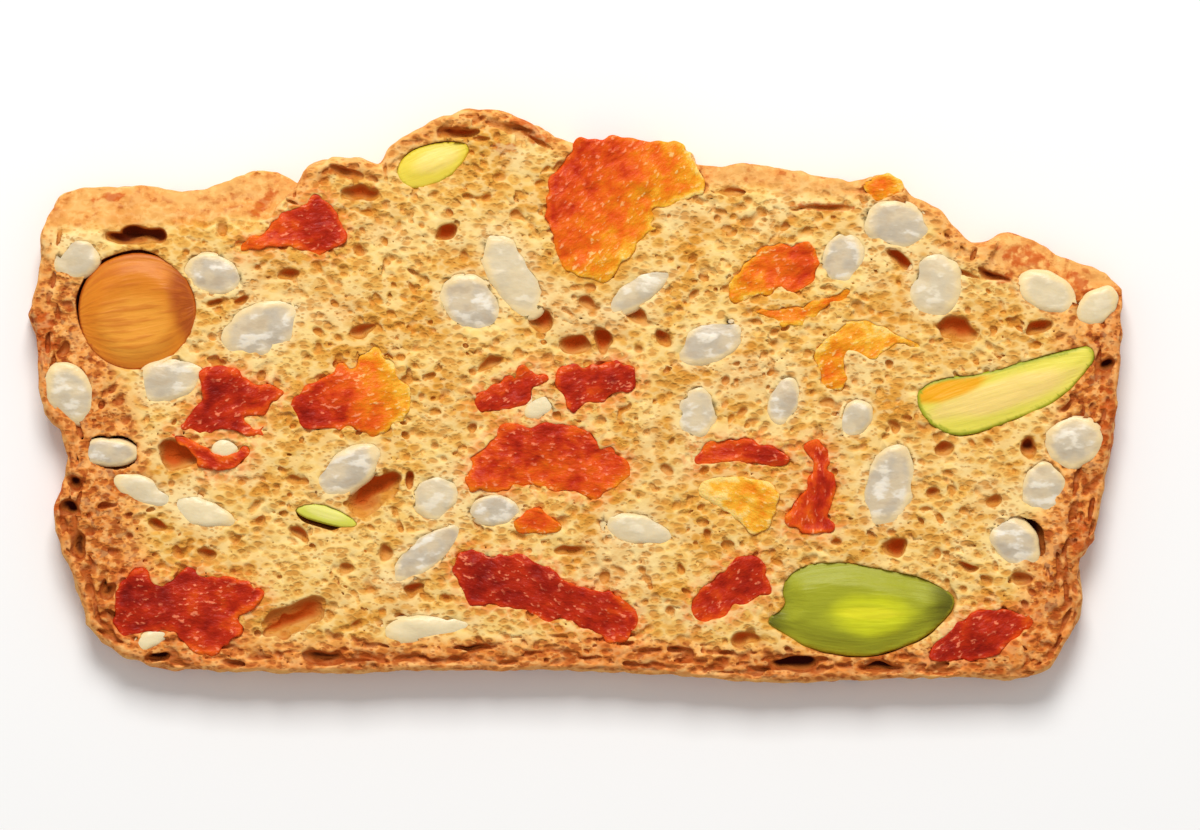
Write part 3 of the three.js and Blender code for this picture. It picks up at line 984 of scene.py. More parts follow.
class Tree(Graph):
    """A Geometry Nodes tree with named inputs, ending in real mesh of one material."""

    def __init__(self, name: str, inputs: Mapping[str, str]) -> None:
        """Makes a tree.

        Args:
            name: The tree's name.
            inputs: Name and socket type of each input after the geometry.
        """
        super().__init__(bpy.data.node_groups.new(name, "GeometryNodeTree"))
        face = self.tree.interface
        face.new_socket("Geometry", in_out="OUTPUT", socket_type="NodeSocketGeometry")
        face.new_socket("Geometry", in_out="INPUT", socket_type="NodeSocketGeometry")
        self.keys = {}
        for key, kind in inputs.items():
            self.keys[key] = face.new_socket(key, in_out="INPUT", socket_type=kind).identifier
        self.given = self.node("NodeGroupInput").outputs

    def taken(self, name: str) -> Field:
        """One of the tree's inputs."""
        return Field(self, self.given[name])

    def named(self, name: str, kind: str = "FLOAT") -> Field:
        """An attribute of the geometry under that name."""
        return self.value("GeometryNodeInputNamedAttribute", {"data_type": kind}, {"Name": name}, "Attribute")

    def draw(self, low: Any, high: Any, seed: int) -> Field:
        """A random number between low and high for each point."""
        limits = {"Min": low, "Max": high, "Seed": seed}
        return self.value("FunctionNodeRandomValue", {"data_type": "FLOAT"}, limits)

    def vector(self, x: Any, y: Any, z: Any) -> Socket:
        """A vector of three numbers."""
        return self.node("ShaderNodeCombineXYZ", None, {"X": x, "Y": y, "Z": z}).outputs["Vector"]

    def geometry(self, kind: str, output: str, sockets: Sockets, settings: Sockets = None) -> Socket:
        """Adds a node that works on geometry and takes the output of that name."""
        return socket_named(self.node(kind, settings, sockets).outputs, output)

    def end(self, geometry: Socket) -> None:
        """Makes instances real, gives them the material and hands them out.

        Args:
            geometry: The finished geometry.
        """
        real = self.geometry("GeometryNodeRealizeInstances", "Geometry", {"Geometry": geometry})
        dressed = self.geometry(
            "GeometryNodeSetMaterial", "Geometry", {"Geometry": real, "Material": self.given["Material"]}
        )
        self.node("NodeGroupOutput", None, {"Geometry": dressed})

    def apply(self, piece: Piece, **inputs: Any) -> Piece:
        """Runs the tree on an object.

        Args:
            piece: The object.
            inputs: Values of the tree's inputs, named with underscores for spaces.

        Returns:
            The same object, as plain mesh.
        """
        modifier = piece.modifiers.new(self.tree.name, "NODES")
        modifier.node_group = self.tree
        for name, value in inputs.items():
            modifier[self.keys[name.replace("_", " ")]] = value
        return finished(piece)


def air_cell_tree() -> Tree:
    """Writes the tree that fills a flat bed of dough with the air cells that a knife opens.

    Returns:
        The tree. Its bed carries openness, lie and stretch.
    """
    names = ("Cells", "Smallest", "Largest", "Rarity", "Spread", "Layer", "Deep")
    sizes = {name: "NodeSocketFloat" for name in names}
    tree = Tree("air_cells", {**sizes, "Seed": "NodeSocketInt", "Material": "NodeSocketMaterial"})
    points = tree.geometry(
        "GeometryNodeDistributePointsOnFaces",
        "Points",
        {
            "Mesh": tree.given["Geometry"],
            "Density": tree.taken("Cells") * tree.named("openness"),
            "Seed": tree.given["Seed"],
        },
        {"distribute_method": "RANDOM"},
    )
    offset = tree.vector(0.0, 0.0, tree.draw(-0.5, 0.5, 1) * tree.taken("Layer"))
    sunk = tree.geometry("GeometryNodeSetPosition", "Geometry", {"Geometry": points, "Offset": offset})
    rare = tree.draw(0.0, 1.0, 2) ** tree.taken("Rarity")
    size = tree.taken("Smallest") + (tree.taken("Largest") - tree.taken("Smallest")) * rare
    stretch = tree.named("stretch") * tree.draw(0.8, 1.5, 3)
    aim = tree.named("lie") + tree.draw(-1.0, 1.0, 6) * tree.taken("Spread")
    turn = tree.vector(tree.draw(-0.4, 0.4, 4), tree.draw(-0.3, 0.3, 5), aim)
    deep = size * tree.draw(0.7, 1.3, 8) * tree.taken("Deep")
    scale = tree.vector(size * stretch, size * tree.draw(0.6, 1.0, 7), deep)
    ball = tree.geometry("GeometryNodeMeshIcoSphere", "Mesh", {"Radius": 0.5, "Subdivisions": 2})
    cells = tree.geometry(
        "GeometryNodeInstanceOnPoints",
        "Instances",
        {"Points": sunk, "Instance": ball, "Rotation": turn, "Scale": scale},
    )
    tree.end(cells)
    return tree


def seed_tree() -> Tree:
    """Writes the tree that lays one kernel of a set on each point, to the point's own size and turn.

    Returns:
        The tree. Its points carry size, turn and kind.
    """
    tree = Tree(
        "laid_seeds",
        {"Set": "NodeSocketCollection", "Uneven": "NodeSocketFloat", "Material": "NodeSocketMaterial"},
    )
    kernels = tree.geometry(
        "GeometryNodeCollectionInfo",
        "Instances",
        {"Collection": tree.given["Set"], "Separate Children": True, "Reset Children": True},
        {"transform_space": "ORIGINAL"},
    )
    laid = tree.geometry(
        "GeometryNodeInstanceOnPoints",
        "Instances",
        {
            "Points": tree.given["Geometry"],
            "Instance": kernels,
            "Pick Instance": True,
            "Instance Index": tree.named("kind", "INT"),
            "Rotation": tree.named("turn", "FLOAT_VECTOR"),
            "Scale": tree.named("size", "FLOAT_VECTOR"),
        },
    )
    real = tree.geometry("GeometryNodeRealizeInstances", "Geometry", {"Geometry": laid})
    waves = tree.node("ShaderNodeTexNoise", None, {"Scale": 1 / (2.2 * MM), "Detail": 1.0})
    centred = tree.node(
        "ShaderNodeVectorMath",
        {"operation": "SUBTRACT"},
        {"Vector": waves.outputs["Color"], "Vector_001": (0.5, 0.5, 0.5)},
    )
    pushed = tree.node(
        "ShaderNodeVectorMath",
        {"operation": "SCALE"},
        {"Vector": centred.outputs["Vector"], "Scale": tree.taken("Uneven")},
    )
    uneven = {"Geometry": real, "Offset": pushed.outputs["Vector"]}
    tree.end(tree.geometry("GeometryNodeSetPosition", "Geometry", uneven))
    return tree


def scrap_tree() -> Tree:
    """Writes the tree that drops scraps too small to hold on to the slice.

    Returns:
        The tree.
    """
    tree = Tree("dropped_scraps", {"Fewest": "NodeSocketFloat", "Material": "NodeSocketMaterial"})
    island = tree.node("GeometryNodeInputMeshIsland").outputs["Island Index"]
    size = tree.value(
        "GeometryNodeAccumulateField",
        {"data_type": "FLOAT", "domain": "POINT"},
        {"Value": 1.0, "Group ID": island},
        "Total",
    )
    small = tree.node(
        "FunctionNodeCompare",
        {"data_type": "FLOAT", "operation": "LESS_THAN"},
        {"A": size, "B": tree.given["Fewest"]},
    )
    scraps = {"Geometry": tree.given["Geometry"], "Selection": small.outputs["Result"]}
    tree.end(tree.geometry("GeometryNodeDeleteGeometry", "Geometry", scraps, {"domain": "POINT"}))
    return tree


# Seeds


@dataclass(frozen=True)
class Oval:
    """An oval in a face of the slice: place, size and turn, in millimetres and degrees."""

    x: float
    y: float
    length: float
    width: float
    turn: float

    def reach(self, points: Array) -> Array:
        """How far points are from the oval's middle, as a share of the way to its line."""
        places = local_frame(points, np.array([self.x, self.y]), math.radians(self.turn))
        return 2 * np.hypot(places[:, 0] / self.length, places[:, 1] / self.width)


class SeedKind(Enum):
    """Shapes of hulled seed."""

    PLUMP = 0
    SLIM = 1
    FLAKE = 2


@dataclass(frozen=True)
class SeedShape:
    """One kind's form: how slim its point is, how flat its back is, how far it stands above the face."""

    point: float
    flat: float
    proud: float


SEED_SHAPES = {
    SeedKind.PLUMP: SeedShape(0.08, 0.52, 0.26),
    SeedKind.SLIM: SeedShape(0.25, 0.55, 0.24),
    SeedKind.FLAKE: SeedShape(0.3, 0.5, 0.18),
}


@dataclass(frozen=True)
class Seed(Oval):
    """One seed in a face: its kind, its tone, the heading and width of each gap beside it, and its lift."""

    kind: SeedKind = SeedKind.PLUMP
    tone: float = 0.1
    gaps: tuple[tuple[float, float], ...] = ()
    lift: float = 0.0

    def rim(self, swell: float) -> Array:
        """Finds spots round the seed.

        Args:
            swell: How much larger than the seed the oval through them is.

        Returns:
            The spots, in millimetres.
        """
        angles = np.linspace(0, 2 * math.pi, RIM_SPOTS, endpoint=False)
        along = swell * self.length / 2 * np.cos(angles)
        across = swell * self.width / 2 * np.sin(angles)
        cosine, sine = math.cos(math.radians(self.turn)), math.sin(math.radians(self.turn))
        x = self.x + along * cosine - across * sine
        return np.column_stack([x, self.y + along * sine + across * cosine])


SHOWN_SEEDS = (
    Seed(-49.9, 13.7, 4.7, 3.9, 10, tone=0.35),
    Seed(-36.1, 12.1, 5.8, 4.0, -12),
    Seed(-31.3, 6.6, 8.2, 5.2, 22),
    Seed(-40.6, 1.6, 6.6, 4.4, 20, tone=0.2),
    Seed(-50.5, 0.2, 6.2, 4.4, -62, tone=0.25, lift=0.12),
    Seed(-46.8, -5.7, 6.0, 2.7, 0, gaps=((90, 0.5), (-90, 0.5))),
    Seed(-43.0, -9.6, 6.4, 2.6, -24, SeedKind.FLAKE, 0.6),
    Seed(-37.6, -11.6, 7.2, 3.0, -18, SeedKind.FLAKE, 0.85),
    Seed(-22.9, -7.5, 7.2, 4.2, 32),
    Seed(-14.0, -10.1, 4.8, 4.2, 25, tone=0.4),
    Seed(-8.0, -11.5, 5.4, 3.2, 0),
    Seed(-14.9, -15.6, 8.8, 3.3, 36, SeedKind.SLIM),
    Seed(-10.4, 9.1, 6.8, 5.4, -42),
    Seed(-6.3, 12.1, 9.4, 4.6, -60, tone=0.5),
    Seed(6.4, 10.6, 8.0, 2.9, 34, SeedKind.SLIM, 0.3),
    Seed(13.6, 5.4, 7.2, 4.2, 22),
    Seed(12.1, -1.7, 5.2, 4.2, 72, tone=0.25),
    Seed(20.8, -0.5, 5.0, 3.2, 70),
    Seed(28.0, -2.2, 4.2, 3.2, 50, tone=0.3),
    Seed(26.7, 13.8, 5.2, 4.2, 72),
    Seed(32.3, 17.1, 7.0, 4.6, -8, tone=0.15),
    Seed(35.9, 11.2, 6.6, 5.4, 78, tone=0.4),
    Seed(47.2, 10.3, 5.8, 3.8, -26, tone=0.6),
    Seed(52.2, 9.0, 4.4, 3.0, 40, tone=0.7, lift=0.12),
    Seed(49.9, -4.6, 5.7, 4.8, 24, tone=0.2, lift=0.12),
    Seed(46.8, -9.3, 5.2, 4.6, 80, tone=0.2),
    Seed(43.9, -14.7, 5.6, 4.4, -50, gaps=((40, 0.85),)),
    Seed(31.2, -9.1, 8.6, 5.2, 74),
    Seed(6.4, -13.4, 7.6, 3.0, -12, SeedKind.FLAKE, 0.6),
    Seed(-14.6, -23.3, 9.6, 2.8, 4, SeedKind.FLAKE, 0.9),
    Seed(-3.5, -1.1, 3.4, 2.6, 20, SeedKind.FLAKE, 0.9),
    Seed(-35.1, -5.3, 2.8, 2.2, 0, SeedKind.FLAKE, 0.95),
    Seed(-42.3, -24.3, 4.0, 1.7, 24, SeedKind.FLAKE, 0.95),
)


@dataclass
class Seeds:
    """The hulled seeds in both faces of the slice."""

    shown: Sequence[Seed]
    held: Sequence[Outline]
    face: float
    thick: float = 1.9
    swell: float = 1.1
    uneven: float = 0.6
    lean: float = 0.03
    cut_off: float = 0.25
    lowest: float = 0.02
    hull: Span = (0.5, 0.95)
    hidden_count: int = 30
    hidden_room: float = 1.4
    hidden_apart: float = 7.4
    hidden_clear: float = 0.5
    hidden_lengths: Span = (4.6, 7.6)
    hidden_slimness: Span = (0.55, 0.75)
    hidden_tone: float = 0.4
    rings: int = 24
    spokes: int = 28
    seed: int = 5

    def kernel(self, kind: SeedKind) -> Piece:
        """Makes one kernel of unit size, its point towards +X.

        Args:
            kind: Which shape.

        Returns:
            The kernel, not shown.
        """
        shape = SEED_SHAPES[kind]
        name = f"seed_{kind.value}"
        along = -np.cos(np.linspace(0, math.pi, self.rings))[1:-1, None]
        angle = np.linspace(0, 2 * math.pi, self.spokes, endpoint=False)[None, :]
        girth = np.sqrt(1 - along**2)
        y = girth * (1 - shape.point * along) * np.cos(angle)
        z = girth**shape.flat * np.sign(np.sin(angle)) * np.abs(np.sin(angle)) ** shape.flat
        x = np.broadcast_to(along, y.shape)
        body = np.stack([x, y, z], 2).reshape(-1, 3) / 2
        points = np.vstack([[[-0.5, 0, 0]], body, [[0.5, 0, 0]]])
        made = bpy.data.objects.new(name, Shell(points / MM, self._faces(len(points) - 1)).mesh(name))
        out = np.hypot(points[:, 0] * 2, points[:, 1] * 2)
        set_attributes(made.data, rim=smoothstep(*self.hull, out))
        return made

    def _faces(self, last: int) -> Array:
        """Lists a kernel's triangles, from its blunt end to its point.

        Args:
            last: Index of the point at its end.

        Returns:
            The triangles, facing out.
        """
        found = []
        bands = self.rings - 3
        for j in range(self.spokes):
            k = (j + 1) % self.spokes
            found.append((0, 1 + k, 1 + j))
            for i in range(bands):
                a = 1 + i * self.spokes
                b = a + self.spokes
                found += [(a + j, a + k, b + j), (a + k, b + k, b + j)]
            a = 1 + bands * self.spokes
            found.append((a + j, a + k, last))
        return np.array(found)

    def hidden(self, plan: Plan) -> list[Seed]:
        """Places seeds in the face that isn't shown, clear of fruit, nuts and crust.

        Args:
            plan: The crumb seen from above.

        Returns:
            The seeds.
        """
        rng = np.random.default_rng(self.seed)
        x, y = plan.places()
        room = np.argwhere(plan.values < -self.hidden_room)
        rng.shuffle(room)
        found: list[Seed] = []
        for i, j in room:
            length = rng.uniform(*self.hidden_lengths)
            width = length * rng.uniform(*self.hidden_slimness)
            turn = rng.uniform(-90, 90)
            tone = rng.random() * self.hidden_tone
            seed = Seed(float(x[i, j]), float(y[i, j]), length, width, turn, tone=tone)
            apart = all(math.hypot(seed.x - s.x, seed.y - s.y) > self.hidden_apart for s in found)
            if apart and self._clear(seed, plan):
                found.append(seed)
            if len(found) == self.hidden_count:
                break
        return found

    def _clear(self, seed: Seed, plan: Plan) -> bool:
        """Says whether a seed lies in crumb alone.

        Args:
            seed: The seed.
            plan: The crumb seen from above.

        Returns:
            True if neither fruit, nuts nor crust are near it.
        """
        rim = seed.rim(self.swell)
        if (plan.sample(rim) > -self.hidden_clear).any():
            return False
        return all((held.distances(rim[:, 0], rim[:, 1]) > self.hidden_clear).all() for held in self.held)

    def build(self, plan: Plan, material: Material) -> Piece:
        """Lays all the seeds.

        Args:
            plan: The crumb seen from above.
            material: Their finish.

        Returns:
            One piece that holds every seed.
        """
        kernels = bpy.data.collections.new("seed_set")
        for kind in SeedKind:
            kernels.objects.link(self.kernel(kind))
        hidden = self.hidden(plan)
        seeds = [*self.shown, *hidden]
        heights = [self.face + SEED_SHAPES[s.kind].proud + s.lift - self.thick / 2 for s in self.shown]
        heights += [self.thick / 2 - self.cut_off] * len(hidden)
        turns = np.zeros((len(seeds), 3))
        turns[:, 2] = np.radians([s.turn for s in seeds])
        count = len(self.shown)
        turns[:count, :2] = np.random.default_rng(self.seed).normal(0, self.lean, (count, 2))
        sizes = np.array([(s.length * self.swell, s.width * self.swell, self.thick) for s in seeds])
        mesh = bpy.data.meshes.new("seeds")
        mesh.from_pydata([(s.x * MM, s.y * MM, z * MM) for s, z in zip(seeds, heights)], [], [])
        tones = np.array([s.tone for s in seeds])
        set_attributes(mesh, size=sizes * MM, turn=turns, tone=tones, owner=np.arange(len(seeds)))
        kinds = mesh.attributes.new("kind", "INT", "POINT")
        kinds.data.foreach_set("value", [s.kind.value for s in seeds])
        piece = add_object("seeds", mesh)
        seed_tree().apply(piece, Set=kernels, Uneven=self.uneven * MM, Material=material)
        for kernel in list(kernels.objects):
            remove(kernel)
        bpy.data.collections.remove(kernels)
        self._trim(piece.data)
        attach(piece, "root")
        return piece

    def _trim(self, mesh: Mesh) -> None:
        """Cuts seeds off flat where the knife left the underside.

        Args:
            mesh: The laid seeds.
        """
        places = np.empty(3 * len(mesh.vertices), np.float32)
        mesh.vertices.foreach_get("co", places)
        places[2::3] = np.maximum(places[2::3], self.lowest * MM)
        mesh.vertices.foreach_set("co", places)
        mesh.update()

    def room(self, piece: Piece) -> Shell:
        """Finds the room that the crumb leaves: every seed, and loose ones pushed over by their gaps.

        Args:
            piece: The laid seeds.

        Returns:
            The room.
        """
        shell = Shell.of_mesh(piece.data)
        owners = np.empty(len(shell.points), np.float32)
        piece.data.attributes["owner"].data.foreach_get("value", owners)
        points, triangles = [shell.points], [shell.triangles]
        for index, seed in enumerate(self.shown):
            own = np.abs(owners[shell.triangles[:, 0]] - index) < 0.5
            for heading, gap in seed.gaps:
                angle = math.radians(heading)
                triangles.append(shell.triangles[own] + len(shell.points) * len(points))
                points.append(shell.points + gap * np.array([math.cos(angle), math.sin(angle), 0.0]))
        return Shell(np.concatenate(points), np.concatenate(triangles))


# Fruit


@dataclass(frozen=True)
class Flesh:
    """How one piece of fruit looks: its tone, dark red (0) to amber (1), along a heading, and its outline."""

    start: float
    end: float
    heading: float
    outline: Outline


FLESH: dict[str, Flesh] = {
    "fruit_upper_left": Flesh(0.46, 0.3, 20, Outline((
        (-25.8, 20.8), (-24.6, 19.2), (-23.6, 17.9), (-22.9, 15.8), (-24.1, 14.9), (-24.9, 13.8),
        (-26.4, 14.4), (-29.1, 15.2), (-30.9, 15.2), (-33.5, 14.1), (-32.9, 15.6), (-31.1, 16.2),
        (-29.6, 18.1), (-27.1, 19.2),
    ))),
    "fruit_middle_left": Flesh(0.26, 0.36, 0, Outline((
        (-37.2, 2.4), (-35.4, 3.0), (-33.5, 2.1), (-31.9, 1.1), (-30.2, 1.2), (-29.1, -0.1), (-31.4, -1.4),
        (-33.0, -1.9), (-32.8, -3.0), (-31.2, -3.6), (-32.4, -4.3), (-35.0, -3.5), (-37.0, -4.0),
        (-39.5, -3.2), (-38.9, -2.1), (-37.1, -0.9), (-37.5, 1.1),
    ))),
    "fruit_inner_left": Flesh(0.3, 0.8, 25, Outline((
        (-28.9, -0.2), (-27.0, 0.7), (-25.6, 1.6), (-24.4, 2.6), (-23.4, 3.5), (-22.4, 2.5), (-21.4, 4.5),
        (-20.1, 5.0), (-18.8, 3.9), (-17.4, 2.1), (-16.1, -0.2), (-16.6, -1.9), (-18.4, -3.2),
        (-20.4, -4.0), (-23.6, -3.0), (-25.9, -3.4), (-27.6, -2.9),
    ))),
    "fruit_ring_left": Flesh(0.44, 0.4, 0, Outline((
        (-40.9, -3.6), (-38.5, -4.4), (-37.0, -4.9), (-36.1, -5.8), (-35.0, -6.3), (-33.5, -5.5),
        (-32.9, -4.9), (-32.5, -5.7), (-33.6, -7.0), (-35.1, -7.8), (-36.9, -7.5), (-38.1, -6.2),
        (-39.5, -5.0),
    ))),
    "fruit_centre_side": Flesh(0.3, 0.36, 40, Outline((
        (-10.3, -0.8), (-9.4, 0.6), (-8.2, 1.4), (-6.8, 1.9), (-5.8, 1.6), (-5.3, 2.9), (-4.5, 3.0),
        (-3.5, 2.1), (-2.5, 1.4), (-3.5, 0.8), (-4.5, 0.5), (-4.8, -0.7), (-6.2, -1.4), (-7.8, -1.8),
        (-9.6, -1.6),
    ))),
    "fruit_centre_upper": Flesh(0.32, 0.22, 30, Outline((
        (-1.9, 2.4), (-0.8, 3.1), (0.8, 2.8), (2.1, 2.4), (3.0, 3.0), (4.3, 3.5), (5.7, 3.0), (6.2, 1.8),
        (5.8, 0.6), (3.5, -0.1), (2.5, -0.9), (1.1, -0.8), (0.5, -1.8), (-0.5, -2.4), (-1.2, -0.2),
        (-1.9, 0.8),
    ))),
    "fruit_centre": Flesh(0.52, 0.36, 90, Outline((
        (-8.9, -4.5), (-7.2, -3.4), (-5.2, -2.8), (-3.0, -2.5), (-0.8, -2.9), (0.9, -3.5), (2.2, -4.8),
        (3.9, -5.2), (5.0, -6.0), (5.5, -7.0), (5.2, -8.2), (3.0, -9.6), (2.5, -10.4), (0.8, -10.3),
        (-1.9, -9.1), (-5.8, -8.9), (-7.2, -9.6), (-8.8, -9.7), (-10.9, -9.2), (-10.8, -7.8), (-10.2, -7.0),
        (-10.8, -6.2), (-9.8, -5.7),
    ))),
    "fruit_speck": Flesh(0.5, 0.56, 0, Outline((
        (-6.5, -12.9), (-5.2, -11.8), (-3.8, -11.4), (-2.2, -12.1), (-1.2, -12.8), (-1.6, -13.6),
        (-3.2, -13.8), (-5.0, -13.6),
    ))),
    "fruit_lower_left": Flesh(0.22, 0.36, -30, Outline((
        (-46.2, -20.6), (-45.8, -19.2), (-44.5, -17.6), (-43.0, -17.4), (-42.4, -18.4), (-41.0, -18.4),
        (-38.8, -17.1), (-37.6, -18.1), (-34.4, -18.1), (-31.9, -18.9), (-30.9, -19.8), (-31.8, -20.9),
        (-33.6, -21.6), (-34.2, -22.4), (-33.5, -23.4), (-34.0, -24.6), (-36.9, -25.9), (-38.5, -25.4),
        (-41.0, -22.8), (-43.2, -23.8), (-44.9, -24.1), (-46.0, -23.4),
    ))),
    "fruit_base_centre": Flesh(0.22, 0.32, -20, Outline((
        (-12.4, -17.6), (-11.9, -15.9), (-10.9, -15.2), (-9.3, -16.2), (-6.3, -15.8), (-5.0, -16.6),
        (-1.9, -17.1), (-1.4, -18.4), (1.8, -19.2), (4.2, -19.8), (4.8, -20.9), (6.0, -21.8), (6.5, -22.9),
        (5.7, -24.4), (4.2, -24.9), (1.4, -23.6), (-2.9, -22.6), (-5.8, -21.1), (-10.2, -20.9),
        (-11.2, -19.9), (-11.4, -18.9),
    ))),
    "fruit_top": Flesh(0.44, 0.8, -40, Outline((
        (-2.0, 22.6), (-1.2, 23.2), (-0.2, 24.8), (0.8, 26.1), (6.5, 25.9), (9.8, 25.5), (11.3, 24.5),
        (11.9, 22.9), (12.7, 21.1), (12.4, 20.2), (10.1, 19.6), (7.7, 18.9), (7.3, 17.4), (8.0, 16.4),
        (6.2, 15.2), (5.2, 14.2), (3.6, 11.8), (2.5, 11.1), (-0.1, 12.2), (-1.4, 12.6), (-2.6, 16.4),
        (-3.0, 19.2), (-2.5, 21.1),
    ))),
    "fruit_right_of_top": Flesh(0.76, 0.5, 25, Outline((
        (15.1, 10.7), (16.1, 12.1), (17.1, 13.2), (19.1, 14.8), (20.6, 15.2), (23.1, 15.1), (24.2, 14.4),
        (24.1, 12.8), (23.2, 10.8), (21.9, 10.2), (18.9, 10.2), (17.2, 9.8), (16.2, 9.1), (15.2, 9.6),
    ))),
    "fruit_sliver": Flesh(0.72, 0.66, 0, Outline((
        (17.6, 8.2), (18.9, 8.8), (21.9, 9.3), (23.1, 8.9), (26.1, 10.3), (27.4, 10.6), (27.1, 9.7),
        (25.6, 9.2), (22.9, 7.3), (21.4, 6.8), (18.8, 7.8),
    ))),
    "fruit_right": Flesh(0.72, 0.88, 60, Outline((
        (23.9, 4.2), (25.1, 5.2), (25.8, 6.5), (26.8, 7.5), (28.1, 7.8), (29.4, 7.8), (30.4, 6.8),
        (34.6, 5.7), (35.1, 4.2), (32.4, 4.8), (30.9, 4.3), (29.8, 3.2), (27.6, 4.3), (26.9, 3.2),
        (27.6, 1.1), (26.2, 0.5), (24.9, 0.8), (23.9, 3.0),
    ))),
    "fruit_nub": Flesh(0.72, 0.8, 0, Outline((
        (28.7, 20.6), (29.3, 21.7), (30.8, 22.4), (32.2, 21.8), (33.0, 20.5), (32.0, 19.6), (30.4, 19.5),
        (29.1, 19.9),
    ))),
    "fruit_band": Flesh(0.42, 0.3, 0, Outline((
        (11.8, -5.8), (12.9, -5.0), (15.4, -4.8), (16.8, -4.4), (19.4, -4.8), (21.1, -5.4), (21.6, -6.2),
        (20.8, -7.0), (19.8, -7.3), (18.8, -6.8), (14.8, -6.6), (13.3, -6.4), (12.4, -7.2), (11.8, -6.8),
    ))),
    "fruit_fold": Flesh(0.32, 0.42, -90, Outline((
        (22.4, -5.2), (23.6, -4.5), (24.8, -5.0), (25.4, -6.3), (25.1, -7.7), (25.9, -9.1), (25.9, -10.1),
        (25.0, -12.0), (25.8, -12.4), (26.2, -13.2), (25.4, -13.9), (24.4, -13.6), (21.8, -13.6),
        (20.9, -13.2), (22.1, -10.8), (22.8, -9.3), (24.1, -7.0), (23.6, -6.0),
    ))),
    "fruit_patch": Flesh(0.95, 0.86, 0, Outline((
        (11.9, -9.6), (12.7, -8.4), (15.4, -8.4), (18.4, -8.2), (20.0, -9.2), (21.0, -9.9), (20.0, -12.4),
        (19.1, -13.5), (18.1, -14.2), (16.9, -13.6), (16.1, -12.2), (13.6, -10.7),
    ))),
    "fruit_base_right": Flesh(0.38, 0.28, 40, Outline((
        (11.3, -21.8), (11.8, -20.2), (13.8, -18.2), (15.7, -16.4), (17.1, -16.1), (18.4, -16.2),
        (19.1, -16.9), (18.9, -18.2), (19.4, -19.4), (17.6, -20.9), (15.3, -21.9), (13.8, -22.6),
        (11.7, -22.8),
    ))),
    "fruit_corner": Flesh(0.24, 0.3, 0, Outline((
        (35.2, -26.4), (36.0, -25.2), (37.9, -22.9), (39.1, -21.9), (40.5, -21.2), (43.5, -21.4),
        (45.8, -22.4), (45.0, -23.6), (42.8, -24.9), (42.0, -25.9), (39.5, -26.6), (36.5, -26.8),
    ))),
}


@dataclass
class CandiedFruit:
    """One piece of candied fruit, sticky and uneven, that fills its seat in the crumb."""

    node: str
    flesh: Flesh
    face: float
    step: float
    seed: int
    margin: float = 1.0
    lift: float = 0.08
    floor: float = 0.16
    lowest: float = 0.02
    round_edge: float = 0.14
    ripples: Waves = Waves(0.16, (1.3, 1.3, 9.0))
    crinkles: Waves = Waves(0.15, (0.6, 0.6, 9.0))
    waves_apart: Triple = (2.2, 2.2, 3.0)
    waves_high: float = 0.12
    waves_below: float = 0.06
    wrinkles_apart: Triple = (0.75, 0.75, 0.9)
    wrinkles_high: float = 0.07
    wrinkles_below: float = 0.03
    tone_run: float = 0.8
    rim_width: float = 0.7
    grain_apart: float = 31.0
    reddest_amber: float = 0.55

    @property
    def red(self) -> bool:
        """Whether the piece is one of the red ones."""
        return max(self.flesh.start, self.flesh.end) < self.reddest_amber

    def volume(self) -> Block:
        """Works out the space that the piece fills.

        Returns:
            Its distances.
        """
        block = self.flesh.outline.cells(self.face, self.step, self.margin)
        heights = block.heights()
        side = self.flesh.outline.distances(*block.columns())[:, :, None]
        side = side + self.ripples.over(block, self.seed)
        side = side + self.crinkles.over(block, self.seed + 30)
        waves = block.noise(self.waves_apart, self.seed + 60)
        wrinkles = block.noise(self.wrinkles_apart, self.seed + 90)
        top = heights - (self.face + self.lift) + self.waves_high * waves + self.wrinkles_high * wrinkles
        under = self.floor - heights + self.waves_below * waves + self.wrinkles_below * wrinkles
        values = round_max(round_max(side, top, self.round_edge), under, self.round_edge)
        block.values = np.maximum(values, self.lowest - heights).astype(np.float32)
        return block

    def build(self, volume: Block, material: Material) -> Piece:
        """Makes the piece.

        Args:
            volume: The space that it fills.
            material: Its finish.

        Returns:
            The piece that stands for the fruit's solid.
        """
        name = self.node.replace("fruit", "candied")
        piece = add_object(name, volume.shell().mesh(name))
        points = Shell.of_mesh(piece.data).points
        plan = self.flesh.outline.plan(volume)
        middle, turn = plan.frame()
        heading = math.radians(self.flesh.heading)
        along = local_frame(points, middle, heading)[:, 0]
        share = smoothstep(along.min() * self.tone_run, along.max() * self.tone_run, along)
        tone = self.flesh.start + (self.flesh.end - self.flesh.start) * share
        rim = smoothstep(-self.rim_width, 0.0, plan.sample(points))
        grain = local_frame(points, middle, turn) + (self.seed * self.grain_apart, 0, 0)
        set_attributes(piece.data, tone=tone, rim=rim, grain=grain * MM)
        piece.data.materials.append(material)
        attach(piece, "root")
        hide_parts(self.node)
        "red_fruit" if self.red else "amber_fruit"
        return piece


# Nuts


@dataclass(frozen=True)
class Spot:
    """An oval on a kernel's face, in shares of the kernel's half length and half width."""

    along: float
    across: float
    long: float
    wide: float
    soft: Span = (0.3, 1.3)

    def shares(self, places: Array) -> Array:
        """Says how far inside the oval places are: 1 in its middle, 0 outside."""
        reach = np.hypot((places[:, 0] - self.along) / self.long, (places[:, 1] - self.across) / self.wide)
        return 1 - smoothstep(*self.soft, reach)


NOWHERE = Spot(9.0, 9.0, 0.1, 0.1)


